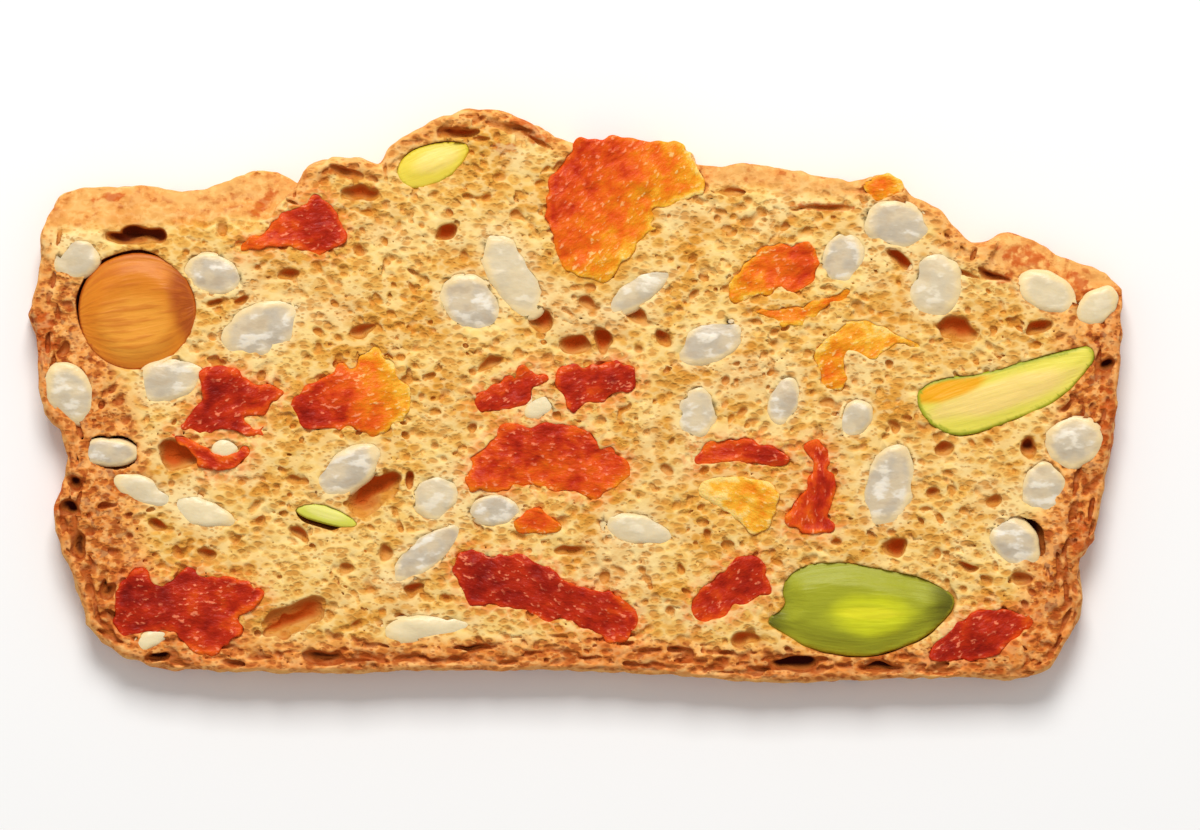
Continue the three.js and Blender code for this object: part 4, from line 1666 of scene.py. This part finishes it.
@dataclass
class Kernel:
    """A nut kernel that the knife has cut through, seated in the crumb with a gap on one side."""

    node: str
    outline: Outline
    finish: KernelFinish
    slot: str
    face: float
    step: float
    seed: int
    heart: Spot
    toast: Spot = NOWHERE
    tips: float = 0.85
    skin: float = 0.5
    crown: float = 0.3
    crown_run: float = 2.4
    gap: float = 0.3
    gap_heading: float = 90.0
    gap_side: Span = (0.1, 0.8)
    gap_height: Span = (0.5, 0.75)
    ridge: float = 0.0
    ridge_place: float = 0.3
    turn: float | None = None
    margin: float = 1.2
    fit: float = 0.12
    floor: float = 0.25
    lowest: float = 0.05
    round_edge: float = 0.3
    bulges: Waves = Waves(0.05, (2.4, 2.4, 2.4))
    dents: Waves = Waves(0.04, (2.0, 2.0, 2.0))
    gap_waves: Waves = Waves(0.05, (1.4, 1.4, 3.0))
    polish: float = 0.5
    polish_rounds: int = 5
    grain_apart: float = 17.0
    grain_bow: float = 0.85
    skin_below_face: Span = (0.5, 1.6)
    skin_above_back: Span = (0.3, 1.2)
    skin_past: float = 0.1

    def volume(self) -> Block:
        """Works out the space that the kernel fills.

        Returns:
            Its distances.
        """
        block = self.outline.cells(self.face, self.step, self.margin)
        heights = block.heights()
        plan = self.outline.distances(*block.columns())
        side = plan[:, :, None] - self.fit + self.bulges.over(block, self.seed)
        crown = self.crown * smoothstep(0.0, self.crown_run, -plan) - self.fit
        if self.ridge:
            crown = crown - self.ridge * np.abs(self._places(block)[:, :, 1] - self.ridge_place)
        top = heights - (self.face + crown[:, :, None]) + self.dents.over(block, self.seed + 20)
        values = round_max(round_max(side, top, self.round_edge), self.floor - heights, self.round_edge)
        block.values = np.maximum(values, self.lowest - heights).astype(np.float32)
        return block

    def _frame(self, block: Block) -> tuple[Array, float, Array]:
        """Finds the kernel's middle, turn and half sizes.

        Args:
            block: The cells round it.

        Returns:
            Middle, turn, and half length and half width.
        """
        middle, turn = self.outline.plan(block).frame()
        if self.turn is not None:
            turn = math.radians(self.turn)
        corners = np.array(self.outline.points)
        flat = np.column_stack([corners, np.zeros(len(corners))])
        return middle, turn, np.abs(local_frame(flat, middle, turn)[:, :2]).max(0)

    def _places(self, block: Block) -> Array:
        """Places of a block's columns, in shares of the kernel's half length and half width."""
        middle, turn, half = self._frame(block)
        return (local_frame(block.feet(), middle, turn)[:, :2] / half).reshape(*block.values.shape[:2], 2)

    def seat(self, volume: Block, piece: Piece) -> Block:
        """Widens the kernel's space by the gap on its open side.

        Args:
            volume: The cells round the kernel.
            piece: The kernel as made.

        Returns:
            The space that the crumb leaves for it.
        """
        middle = self._frame(volume)[0]
        x, y = volume.columns()
        aside = np.cos(np.arctan2(y - middle[1], x - middle[0]) - math.radians(self.gap_heading))
        uneven = self.gap_waves.over(volume, self.seed + 40)[:, :, 0]
        gap = self.gap * smoothstep(*self.gap_side, aside) + uneven
        low, high = self.gap_height
        upper = smoothstep(low * self.face, high * self.face, volume.heights())
        filled = volume.distances(Shell.of_mesh(piece.data), self.margin)
        return Block(volume.low, volume.step, (filled - gap[:, :, None] * upper).astype(np.float32))

    def build(self, volume: Block) -> Piece:
        """Makes the kernel.

        Args:
            volume: The space that it fills.

        Returns:
            The piece that stands for the kernel's solid.
        """
        name = f"{self.node}_kernel"
        piece = add_object(name, volume.shell().mesh(name))
        polish = piece.modifiers.new("knife_polish", "SMOOTH")
        polish.factor = self.polish
        polish.iterations = self.polish_rounds
        finished(piece)
        points = Shell.of_mesh(piece.data).points
        middle, turn, half = self._frame(volume)
        grain = local_frame(points, middle, turn)
        share = grain[:, :2] / half
        grain[:, 1] /= np.sqrt(1 - self.grain_bow * np.clip(share[:, 0], -1, 1) ** 2)
        plan = self.outline.plan(volume)
        height = points[:, 2]
        low, high = (self.face - depth for depth in self.skin_below_face)
        between = smoothstep(low, high, height) * smoothstep(*self.skin_above_back, height)
        rim = smoothstep(-self.skin, self.skin_past, plan.sample(points))
        set_attributes(
            piece.data,
            heart=self.heart.shares(share),
            toast=self.toast.shares(share),
            tip=smoothstep(self.tips, 1.0, np.abs(share[:, 0])),
            rim=np.maximum(rim, between),
            grain=(grain + (0, self.seed * self.grain_apart, 0)) * MM,
        )
        piece.data.materials.append(self.finish.material())
        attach(piece, "root")
        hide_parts(self.node)
        return piece


PALE_PISTACHIO = KernelFinish(
    "pale_pistachio",
    heart=srgb(244, 212, 122),
    flank=srgb(234, 220, 88),
    skin=srgb(158, 166, 34),
    tip=srgb(214, 206, 70),
    streaks=0.1,
)
LEMON_PISTACHIO = KernelFinish(
    "lemon_pistachio",
    heart=srgb(246, 218, 114),
    flank=srgb(236, 212, 74),
    skin=srgb(212, 190, 48),
    tip=srgb(232, 206, 70),
    streaks=0.2,
)
LIME_PISTACHIO = KernelFinish(
    "lime_pistachio",
    heart=srgb(236, 228, 128),
    flank=srgb(214, 212, 82),
    skin=srgb(172, 176, 50),
    tip=srgb(204, 202, 72),
    streaks=0.2,
)
GREEN_PISTACHIO = KernelFinish(
    "green_pistachio",
    heart=srgb(208, 210, 30),
    flank=srgb(164, 166, 36),
    skin=srgb(150, 144, 28),
    tip=srgb(100, 98, 20),
    toasted=srgb(228, 222, 40),
    streaks=0.12,
)
GOLD_HAZELNUT = KernelFinish(
    "gold_hazelnut",
    heart=srgb(234, 156, 52),
    flank=srgb(220, 130, 30),
    skin=srgb(186, 92, 22),
    tip=srgb(198, 104, 22),
    # painted shade down the right side, with some brown skin
    toasted=srgb(172, 80, 18),
    streaks=0.6,
)


def circle(x: float, y: float, radius: float, corners: int = 20) -> Outline:
    """Draws a round outline, in millimetres."""
    angles = [2 * math.pi * k / corners for k in range(corners)]
    return Outline(tuple((x + radius * math.cos(a), y + radius * math.sin(a)) for a in angles))


def nut_kernels(face: float, step: float) -> list[Kernel]:
    """Lists the nut kernels that the knife met.

    Args:
        face: Height of the cut face.
        step: Size of a cell.

    Returns:
        The kernels.
    """
    return [
        Kernel(
            "hazelnut",
            circle(-43.9, 8.4, 5.85),
            GOLD_HAZELNUT, "hazelnut", face, step, 61,
            # the toast spot here darkens the right side: painted shade, with some brown skin
            heart=Spot(-0.05, -0.25, 0.8, 0.7), toast=Spot(1.05, 0.1, 0.55, 1.1),
            tips=0.97, skin=0.5, crown=0.62, gap=0.36, gap_heading=128, turn=8.0,
        ),
        Kernel(
            "pistachio_base",
            Outline((
                (20.6, -19.6), (21.1, -18.1), (22.6, -17.1), (25.2, -16.6), (30.1, -17.2), (34.9, -18.4),
                (37.0, -19.4), (38.0, -20.4), (37.5, -21.8), (35.1, -24.1), (30.9, -25.8), (28.4, -26.1),
                (23.6, -25.4), (20.6, -23.6), (18.8, -22.6), (21.1, -21.1),
            )),
            GREEN_PISTACHIO, "pistachio", face, step, 62,
            heart=Spot(0.14, -0.15, 0.5, 0.55), toast=Spot(0.1, -0.1, 0.4, 0.16),
            tips=0.55, skin=0.5, crown=0.75, gap=0.25, gap_heading=-70, ridge=0.3, ridge_place=0.3,
        ),
        Kernel(
            "pistachio_right",
            Outline((
                (34.0, -0.3), (34.6, 0.9), (36.1, 1.6), (41.0, 2.2), (45.5, 3.5), (50.0, 4.8),
                (51.5, 5.0), (52.1, 4.2), (51.6, 2.9), (48.8, -0.2), (44.0, -2.5), (39.0, -4.0),
                (37.0, -3.8), (35.1, -2.5),
            )),
            PALE_PISTACHIO, "pistachio", face, step, 63,
            heart=Spot(0.0, -0.05, 0.9, 0.6), toast=Spot(-0.48, 0.6, 0.5, 0.4),
            tips=0.85, skin=0.9, crown=0.25, gap=0.15, gap_heading=-110,
        ),
        Kernel(
            "pistachio_top",
            Outline((
                (-17.8, 23.0), (-16.9, 24.1), (-15.2, 24.9), (-12.1, 25.3), (-10.7, 25.0), (-10.9, 23.9),
                (-12.9, 21.6), (-16.1, 20.6), (-17.2, 21.1), (-17.9, 22.0),
            )),
            LEMON_PISTACHIO, "pistachio", face, step, 64,
            heart=Spot(0.15, 0.1, 0.7, 0.7), crown=0.35, gap=0.15, gap_heading=100,
        ),
        Kernel(
            "pistachio_chip",
            Outline((
                (-28.2, -11.3), (-26.7, -10.7), (-24.4, -11.1), (-21.5, -12.8), (-22.5, -13.3),
                (-25.2, -12.7), (-27.4, -12.1),
            )),
            LIME_PISTACHIO, "pistachio", face, step, 65,
            heart=Spot(0.0, 0.2, 0.7, 0.7), skin=0.3, crown=0.2, gap=0.6, gap_heading=-115,
        ),
    ]


# Crumb


@dataclass(frozen=True)
class Airing:
    """One draw of air cells: at what height, how many, how large, how strewn, how deep and where."""

    height: float
    per_mm2: float
    smallest: float
    largest: float
    rarity: float
    spread: float
    deep: float
    crust: bool
    seed: int


@dataclass(frozen=True)
class Mark(Oval):
    """A mark with a soft edge on the shown face."""

    soft: Span = (0.4, 1.2)

    def shares(self, points: Array) -> Array:
        """Says how far inside the mark points are: 1 in its middle, 0 outside."""
        return 1 - smoothstep(*self.soft, self.reach(points))


SCORCHES = (
    Mark(-12.2, 26.5, 4.2, 1.4, 12),
    Mark(-4.3, 26.3, 7.0, 2.0, -32),
    Mark(-7.0, 24.8, 3.4, 1.6, -10),
    Mark(-23.3, 22.4, 4.0, 1.6, -18),
    Mark(-21.5, 20.3, 4.2, 2.2, 0),
    Mark(-31.0, 19.6, 5.0, 1.6, 50),
    Mark(-47.0, 19.8, 5.0, 1.2, 8),
    Mark(24.7, 18.9, 8.0, 1.4, -3),
    Mark(44.8, 14.0, 6.5, 3.2, -20),
    Mark(42.4, 11.6, 3.4, 1.6, 10),
    Mark(50.5, 11.2, 4.0, 1.8, -35),
    Mark(-53.0, 6.0, 3.0, 7.0, 0),
    Mark(-52.5, -9.5, 3.4, 8.0, 8),
    Mark(53.2, -3.0, 2.6, 9.0, 2),
    Mark(51.0, -13.5, 3.4, 8.0, -12),
)

# Painted shade: deep holes and narrow gaps painted near-black, among them those by the hazelnut, the
# pistachio chip and the loose seed on the right
SHADED_HOLES = (
    Mark(-43.9, 16.2, 9.0, 4.6, -5),
    Mark(-43.9, 8.4, 16.0, 16.0, 0),
    Mark(-24.8, -12.6, 7.0, 3.4, -20),
    Mark(45.6, -12.9, 4.4, 4.4, 0),
    Mark(45.4, -5.7, 3.4, 3.4, 0),
)


@dataclass(frozen=True)
class Hollow(Oval):
    """A deep, dark hole in the shown face, with a ragged edge."""

    depth: float
    ragged: Waves = Waves(0.22, (1.1, 1.1, 100.0))

    def distances(self, block: Block, face: float) -> Array:
        """Measures how far cells are from the hole.

        Args:
            block: The cells.
            face: Height of the shown face.

        Returns:
            Distances, negative inside the hole.
        """
        level = self.reach(block.feet()).reshape(block.values.shape[:2])
        level = level + self.ragged.over(block, int(10 * abs(self.x)))[:, :, 0]
        reach = np.hypot(level[:, :, None], (block.heights() - face) / self.depth)
        return ((reach - 1) * min(self.length, self.width) / 2).astype(np.float32)


HOLLOWS = (
    Hollow(-43.9, 16.2, 6.2, 2.2, -5, 2.6),
    Hollow(-50.6, -11.0, 2.3, 1.9, 20, 1.3),
    Hollow(-49.9, -15.0, 3.4, 1.6, 84, 1.3),
    Hollow(-46.9, -19.8, 2.2, 1.5, 60, 1.3),
    Hollow(-28.4, -22.4, 6.6, 2.8, 22, 1.2),
    Hollow(-19.8, -9.5, 6.4, 2.8, 40, 1.2),
)


@dataclass
class Crumb:
    """The baked dough: the solid's own form, opened by air cells, holes and the seats of what it holds.

    A span is where a share eases in or out: along X or Y, or by distance from the crust, fruit or seeds.
    """

    solid: Shell
    face: float
    step: float
    reach: float = 0.9
    fill: float = 0.65
    contact: float = 0.12
    seed_contact: float = 0.04
    slice_height: float = 2.0
    plan_reach: float = 3.6
    seat_floor: float = 0.6
    seed_floor: float = 0.35
    overlap: float = 0.2
    broad_push: tuple[float, float] = (1.7, 0.26)
    fine_push: tuple[float, float] = (0.8, 0.1)
    rim_push: float = 0.03
    pushed: Span = (0.5, 2.8)
    unevenness: tuple[tuple[float, float, Triple], ...] = (
        (0.045, 0.045, (2.4, 2.4, 1.6)),
        (0.045, 0.035, (0.8, 0.8, 0.7)),
    )
    uneven_rim: Span = (4.0, 0.5)
    calm: float = 0.8
    close_depth: float = 0.3
    close: Span = (0.85, 0.1)
    roof_spreads: tuple[int, ...] = (1, 1, 2, 4, 4)
    slope_reach: float = 0.8
    cell_sink: float = 0.05
    along_crust: Span = (4.0, 1.0)
    crack_band: Span = (3.8, 1.6)
    crack_base: Span = (-6.0, -16.0)
    crack_ends: Span = (40.0, 50.0)
    crack_stretch: float = 4.0
    hot_left: Span = (-28.0, -48.0)
    hot_left_below: Span = (18.0, 4.0)
    hot_right: Span = (34.0, 50.0)
    hot_base: Span = (-12.0, -22.0)
    toast_width: float = 2.6
    toast_wider: Triple = (8.0, 5.5, 1.4)
    toast_fade: Span = (0.35, 1.3)
    stained: Span = (0.1, 1.9)
    rim_width: float = 0.5
    most_triangles: int = 196_000
    fewest_points: float = 3000.0
    bed_step: float = 0.8
    bed_rim: float = 0.3
    cell_layer: float = 0.3
    ragged: Waves = Waves(0.05, (0.6, 0.6, 0.6))

    def plan(self) -> Plan:
        """Cuts the crumb below its holes and above its underside's cells.

        Returns:
            The crumb seen from above: distances from its surface, negative inside.
        """
        block = Block.around(self.solid.points, 2 * self.step, self.plan_reach)
        layer = int(round(self.slice_height / block.step)) - int(block.low[2])
        return Plan(block.low[:2], block.step, block.distances(self.solid, self.plan_reach)[:, :, layer])

    def whole(self, filled: Sequence[Shell]) -> Block:
        """Measures the solid with the seats of what it holds filled in.

        Args:
            filled: Solids whose seats are filled.

        Returns:
            Its distances.
        """
        block = Block.around(self.solid.points, self.step, self.reach)
        block.values = block.distances(self.solid, self.reach)
        bare = block.values.copy()
        held = Block(block.low, block.step, bare.copy())
        for shell in filled:
            part = Block.around(shell.points, self.step, self.reach)
            part.values = part.distances(shell, self.reach)
            block.join(part.opened(self.face / 2, self.face), self.fill)
            held.join(part, 0.0)
        inside = (held.values < 0).any(2)
        beyond = ~(np.maximum.accumulate(inside, 1) & np.maximum.accumulate(inside[:, ::-1], 1)[:, ::-1])
        block.values[beyond] = np.maximum(block.values, bare)[beyond]
        return block

    def edge(self, block: Block) -> Plan:
        """Measures how far each spot is from the outer crust, whatever fruit lies between.

        Args:
            block: The whole crumb's distances.

        Returns:
            Distances from the crust, in millimetres.
        """
        layer = int(np.searchsorted(block.axis(2), self.slice_height))
        plan = Plan(block.low[:2], block.step, block.values[:, :, layer])
        outside = np.zeros(plan.values.shape, bool)
        outside[0, :] = True
        empty = plan.values > 0
        while True:
            grown = outside.copy()
            grown[1:] |= outside[:-1]
            grown[:-1] |= outside[1:]
            grown[:, 1:] |= outside[:, :-1]
            grown[:, :-1] |= outside[:, 1:]
            grown &= empty
            if (grown == outside).all():
                break
            outside = grown
        tree = searchable(np.argwhere(outside & (plan.values < 2 * plan.step)))
        found = np.zeros(plan.values.shape, np.float32)
        for i, j in np.argwhere(~outside):
            found[i, j] = tree.find((i, j, 0))[2] * plan.step
        return Plan(plan.low, plan.step, found)

    def roof(self, block: Block) -> Plan:
        """Heights of the face that the knife and the crust left, with holes smoothed over."""
        heights = np.where(block.values < 0, block.heights(), 0).max(2)
        return Plan(block.low[:2], block.step, np.minimum(-self._spread(-self._spread(heights)), self.face))

    def _spread(self, values: Array) -> Array:
        """Spreads each cell's value to the lower cells round it.

        Args:
            values: Heights.

        Returns:
            The highest of each cell's surroundings.
        """
        for axis in (0, 1):
            for shift in self.roof_spreads:
                beside = np.maximum(np.roll(values, shift, axis), np.roll(values, -shift, axis))
                values = np.maximum(values, beside)
        return values

    def close_grained(self, sown: Block) -> Plan:
        """Finds where the dough is pale and close-grained: against the seeds, as distances to them say."""
        layer = int(np.searchsorted(sown.axis(2), self.face - self.close_depth))
        return Plan(sown.low[:2], sown.step, smoothstep(*self.close, sown.values[:, :, layer]))

    def roughen(self, block: Block, edge: Plan, pale: Plan) -> None:
        """Makes every face uneven, most of all near the crust and least against the seeds.

        Args:
            block: The crumb's distances.
            edge: Distances from the crust.
            pale: Where the dough is close-grained.
        """
        rough = smoothstep(*self.uneven_rim, edge.values)[:, :, None]
        calm = 1 - self.calm * pale.values[:, :, None]
        for seed, (inner, rim, apart) in enumerate(self.unevenness, start=1):
            block.values += calm * (inner + rim * rough) * block.noise(apart, seed)

    def bed(self, edge: Plan, pale: Plan, airing: Airing) -> Piece:
        """Makes the flat bed that air cells are drawn from.

        Args:
            edge: Distances from the crust.
            pale: Where the dough is close-grained.
            airing: Which cells.

        Returns:
            The bed, which carries openness, lie and stretch.
        """
        low, high = self.solid.points.min(0), self.solid.points.max(0)
        x = np.arange(low[0], high[0], self.bed_step)
        y = np.arange(low[1], high[1], self.bed_step)
        level = np.full((len(x), len(y)), airing.height)
        points = np.stack([*np.meshgrid(x, y, indexing="ij"), level], 2).reshape(-1, 3)
        away = edge.sample(points)
        inside = (away > self.bed_rim).reshape(len(x), len(y))
        index = np.arange(len(points)).reshape(len(x), len(y))
        whole = inside[:-1, :-1] & inside[1:, :-1] & inside[1:, 1:] & inside[:-1, 1:]
        corners = (index[:-1, :-1], index[1:, :-1], index[1:, 1:], index[:-1, 1:])
        a, b, c, d = (corner[whole] for corner in corners)
        mesh = Shell(points, np.concatenate([np.stack([a, b, c], 1), np.stack([a, c, d], 1)])).mesh("bed")
        slope_x, slope_y = self._slopes(edge, points)
        along_crust = np.arctan2(-slope_x, slope_y)
        near = smoothstep(*self.along_crust, away)
        x, y = points[:, 0], points[:, 1]
        # the dough rose in slow swirls, more open in some patches than in others
        flow = 0.5 * np.sin(x / 9) + 0.3 * np.sin(y / 5 + 2)
        waves = np.sin(x / 3.1 + 1.3 * np.sin(y / 4.3)) * np.sin(y / 3.7 + 0.4)
        airy = 1 - pale.sample(points)
        opened = np.clip(1 + 0.6 * waves, 0.3, None) * airy
        base = np.maximum(smoothstep(*self.crack_base, y), 0.7 * smoothstep(*self.crack_ends, np.abs(x)))
        cracked = smoothstep(*self.crack_band, away) * (0.25 + 0.75 * base) * airy
        if airing.crust:
            stretch = np.full(len(points), self.crack_stretch)
            set_attributes(mesh, lie=along_crust, stretch=stretch, openness=cracked)
        else:
            lie = along_crust * near + flow * (1 - near)
            set_attributes(mesh, lie=lie, stretch=1.2 + 0.7 * near, openness=opened)
        return add_object("bed", mesh)

    def _slopes(self, edge: Plan, points: Array) -> tuple[Array, Array]:
        """How fast the distance from the crust grows along X and Y at points."""
        sides = np.eye(3)[:2] * self.slope_reach
        return tuple(edge.sample(points + side) - edge.sample(points - side) for side in sides)

    def air(
        self, block: Block, tree: Tree, bed: Piece, airing: Airing, material: Material
    ) -> None:
        """Opens air cells in the crumb.

        Args:
            block: The crumb's distances.
            tree: The tree that draws cells.
            bed: The bed that they are drawn from.
            airing: Which cells.
            material: The crumb's finish.
        """
        tree.apply(
            bed,
            Cells=airing.per_mm2 / MM**2,
            Smallest=airing.smallest * MM,
            Largest=airing.largest * MM,
            Rarity=airing.rarity,
            Spread=airing.spread,
            Layer=self.cell_layer * MM,
            Deep=airing.deep,
            Seed=airing.seed,
            Material=material,
        )
        cells = block.distances(Shell.of_mesh(bed.data), self.reach)
        cells += self.ragged.over(block, airing.seed)
        np.maximum(block.values, -cells, out=block.values)
        remove(bed)

    def airings(self) -> list[Airing]:
        """Lists the draws of air cells in both faces and the crust.

        Returns:
            The draws.
        """
        front, back = self.face - self.cell_sink, self.cell_sink
        return [
            Airing(front, 1.2, 0.28, 0.95, 2.4, 0.7, 0.75, False, 11),
            Airing(front, 1.05, 0.26, 0.75, 1.8, 0.15, 1.7, True, 12),
            Airing(back, 1.2, 0.28, 1.0, 2.4, 0.7, 0.75, False, 13),
            Airing(back, 0.8, 0.28, 0.6, 1.6, 0.15, 1.4, True, 14),
        ]

    def build(
        self,
        filled: Sequence[Shell],
        seats: Sequence[Block],
        seeds: Shell,
        red: KDTree,
        material: Material,
    ) -> list[Piece]:
        """Makes the crumb.

        Args:
            filled: Solids whose seats are filled before the new ones are cut.
            seats: Spaces that the crumb leaves for fruit and nuts.
            seeds: The room that the crumb leaves for seeds.
            red: Spots on the outlines of the red fruit.
            material: The crumb's finish.

        Returns:
            The pieces that stand for the crumb's solid, front and back.
        """
        block = self.whole(filled)
        edge = self.edge(block)
        within = smoothstep(*self.pushed, edge.values)
        block = block.warped(self.broad_push[0], self.broad_push[1] * within, 70)
        block = block.warped(self.fine_push[0], self.fine_push[1] * within + self.rim_push, 80)
        block = block.measured(self.reach)
        roof = self.roof(block)
        heights = block.heights()
        block.values = np.maximum(block.values, heights - self.face)
        sown = Block(block.low, block.step, block.distances(seeds, self.reach))
        pale = self.close_grained(sown)
        self.roughen(block, edge, pale)
        cells = air_cell_tree()
        for airing in self.airings():
            self.air(block, cells, self.bed(edge, pale, airing), airing, material)
        for hollow in HOLLOWS:
            np.maximum(block.values, -hollow.distances(block, self.face), out=block.values)
        middle = self.face / 2
        for seat in seats:
            block.carve(seat.opened(self.seat_floor, middle), -self.contact)
        block.carve(sown.opened(self.seed_floor, self.face), -self.seed_contact)
        block.values = np.maximum(block.values, -heights)
        front = np.maximum(block.values, middle - self.overlap - heights)
        back = np.maximum(block.values, heights - middle - self.overlap)
        scraps = scrap_tree()
        pieces = []
        for name, values in (("crumb_front", front), ("crumb_back", back)):
            piece = add_object(name, Block(block.low, block.step, values).shell().mesh(name))
            scraps.apply(piece, Fewest=self.fewest_points, Material=material)
            thinner = piece.modifiers.new("thinner", "DECIMATE")
            thinner.ratio = min(1.0, self.most_triangles / len(piece.data.polygons))
            finished(piece)
            self.mark(piece.data, edge, roof, pale, red)
            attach(piece, "root")
            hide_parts("crumb")
            pieces.append(piece)
        return pieces

    def mark(self, mesh: Mesh, edge: Plan, roof: Plan, pale: Plan, red: KDTree) -> None:
        """Marks each point with what its colour depends on.

        Args:
            mesh: The crumb's mesh.
            edge: Distances from the crust.
            roof: Heights of the shown face.
            pale: Where the dough is close-grained.
            red: Spots on the outlines of the red fruit.
        """
        points = Shell.of_mesh(mesh).points
        away = edge.sample(points)
        upper = points[:, 2] > self.face / 2
        top = roof.sample(points)
        below = np.where(upper, top - points[:, 2], points[:, 2])
        x, y = points[:, 0], points[:, 1]
        left = smoothstep(*self.hot_left, x) * smoothstep(*self.hot_left_below, y)
        right = smoothstep(*self.hot_right, x)
        base = smoothstep(*self.hot_base, y)
        warm = np.maximum(np.maximum(left, right), base)
        width = self.toast_width
        for share, wider in zip((left, right, base), self.toast_wider):
            width = width + wider * share
        near_red = np.array([red.find((p[0], p[1], 0))[2] for p in points])
        slope_x, slope_y = np.abs(self._slopes(edge, points))
        facing = np.empty(3 * len(points), np.float32)
        mesh.vertex_normals.foreach_get("vector", facing)
        set_attributes(
            mesh,
            edge=away,
            depth=np.where(away < self.rim_width, 0, np.clip(below, 0, None)),
            drop=np.where(upper, self.face - top, 0),
            pale=pale.sample(points) * upper,
            toast=(0.6 + 0.5 * warm) * (1 - smoothstep(*self.toast_fade, away / width)),
            rind=0.35 + 0.65 * warm,
            ends=slope_x / (slope_x + slope_y + 0.01),
            # painted shade: how far each wall faces away from the lamp beyond the risen crust
            shade=np.clip(0.5 - 0.7 * facing[1::3], 0, 1),
            stain=1 - smoothstep(*self.stained, near_red),
            scorch=np.maximum.reduce([mark.shares(points) for mark in SCORCHES]),
            # painted shade: near-black in the marked holes and gaps
            murk=np.maximum.reduce([mark.shares(points) for mark in SHADED_HOLES]),
        )


# The studio


@dataclass
class Studio:
    """A pale floor, soft light from the risen side of the slice and a camera straight above it."""

    face: float
    frame_width: float = 120.0
    frame_middle: tuple[float, float] = (2.45, -1.95)
    distance: float = 0.75
    sensor: float = 36.0
    floor_side: float = 1.6
    room_light: float = 0.46
    lamp_place: Triple = (-0.02, 0.5, 0.52)
    lamp_side: float = 0.3
    lamp_power: float = 4.5
    lamp_colour: Triple = (1.0, 0.985, 0.96)
    room_colour: Colour = (1.0, 0.99, 0.98, 1.0)
    below: float = 0.1

    def build(self) -> None:
        """Makes floor, lights and camera."""
        scene = bpy.context.scene
        scene.view_settings.view_transform = "Standard"
        self._floor()
        self._room()
        self._lamp()
        data = bpy.data.cameras.new("camera")
        data.sensor_width = self.sensor
        data.lens = self.sensor * (self.distance - self.face * MM) / (self.frame_width * MM)
        camera = bpy.data.objects.new("camera", data)
        camera.location = (self.frame_middle[0] * MM, self.frame_middle[1] * MM, self.distance)
        scene.collection.objects.link(camera)
        scene.camera = camera

    def _floor(self) -> None:
        """Lays the floor."""
        sheet = Sheet("pale_floor")
        sheet.set(Base_Color=srgb(250, 250, 250), Roughness=0.9, Specular_IOR_Level=0.1)
        side = self.floor_side
        corners = [(-side, -side, 0), (side, -side, 0), (side, side, 0), (-side, side, 0)]
        mesh = bpy.data.meshes.new("floor")
        mesh.from_pydata(corners, [], [(0, 1, 2, 3)])
        mesh.materials.append(sheet.material)
        floor = add_object("floor", mesh)
        floor.location.z = -self.below * MM

    def _room(self) -> None:
        """Fills the room with even light."""
        world = bpy.data.worlds.new("even_light")
        world.use_nodes = True
        background = world.node_tree.nodes["Background"]
        background.inputs["Color"].default_value = self.room_colour
        background.inputs["Strength"].default_value = self.room_light
        bpy.context.scene.world = world

    def _lamp(self) -> None:
        """Hangs one broad lamp beyond the risen crust, looking at the slice."""
        data = bpy.data.lights.new("lamp", "AREA")
        data.size = self.lamp_side
        data.energy = self.lamp_power
        data.color = self.lamp_colour
        lamp = bpy.data.objects.new("lamp", data)
        lamp.location = self.lamp_place
        lamp.rotation_euler = (-Vector(self.lamp_place)).to_track_quat("-Z", "Y").to_euler()
        bpy.context.scene.collection.objects.link(lamp)


def red_spots(fruit: Sequence[tuple[CandiedFruit, Block]]) -> KDTree:
    """Gathers spots on the outlines of the red fruit.

    Args:
        fruit: Every piece and the space that it fills.

    Returns:
        The spots, ready to be searched.
    """
    found: list[tuple[float, float]] = []
    for piece, volume in fruit:
        if piece.red:
            x, y = volume.columns()
            band = np.abs(piece.flesh.outline.distances(x, y)) < volume.step
            found += list(zip(x[band].tolist(), y[band].tolist()))
    return searchable(found)


def report(piece: Piece) -> None:
    """Writes a piece's name and size to the log."""
    LOG.info("%s: %d faces", piece.name, len(piece.data.polygons))


def main(frame: dict[str, Any]) -> None:
    """Builds the slice in order, from its seeds to the studio.

    Args:
        frame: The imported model, as loaded.
    """
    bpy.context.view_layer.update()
    shells = {name: Shell.of_mesh(node.data) for name, node in frame["nodes"].items()}
    face = FACE_HEIGHT
    step = STEP
    crumb = Crumb(shells["crumb"], face, step)

    kernels = nut_kernels(face, step)
    held = [look.outline for look in FLESH.values()] + [kernel.outline for kernel in kernels]
    sowing = Seeds(SHOWN_SEEDS, held, face)
    seeds = sowing.build(crumb.plan(), SeedFinish().material())
    report(seeds)

    flesh = FruitFinish().material()
    fruit: list[tuple[CandiedFruit, Block]] = []
    for seed, (node, look) in enumerate(FLESH.items(), start=1):
        piece = CandiedFruit(node, look, face, step, seed)
        fruit.append((piece, piece.volume()))
        report(piece.build(fruit[-1][1], flesh))

    seats = [volume for _, volume in fruit]
    for kernel in kernels:
        volume = kernel.volume()
        nut = kernel.build(volume)
        seats.append(kernel.seat(volume, nut))
        report(nut)

    filled = [shell for name, shell in shells.items() if name != "crumb"]
    room = sowing.room(seeds)
    for piece in crumb.build(filled, seats, room, red_spots(fruit), CrumbFinish().material()):
        report(piece)

    Studio(face).build()


if __name__ == "__main__":
    logging.basicConfig(level=logging.INFO, format="%(name)s: %(message)s")
    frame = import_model()
    main(frame)
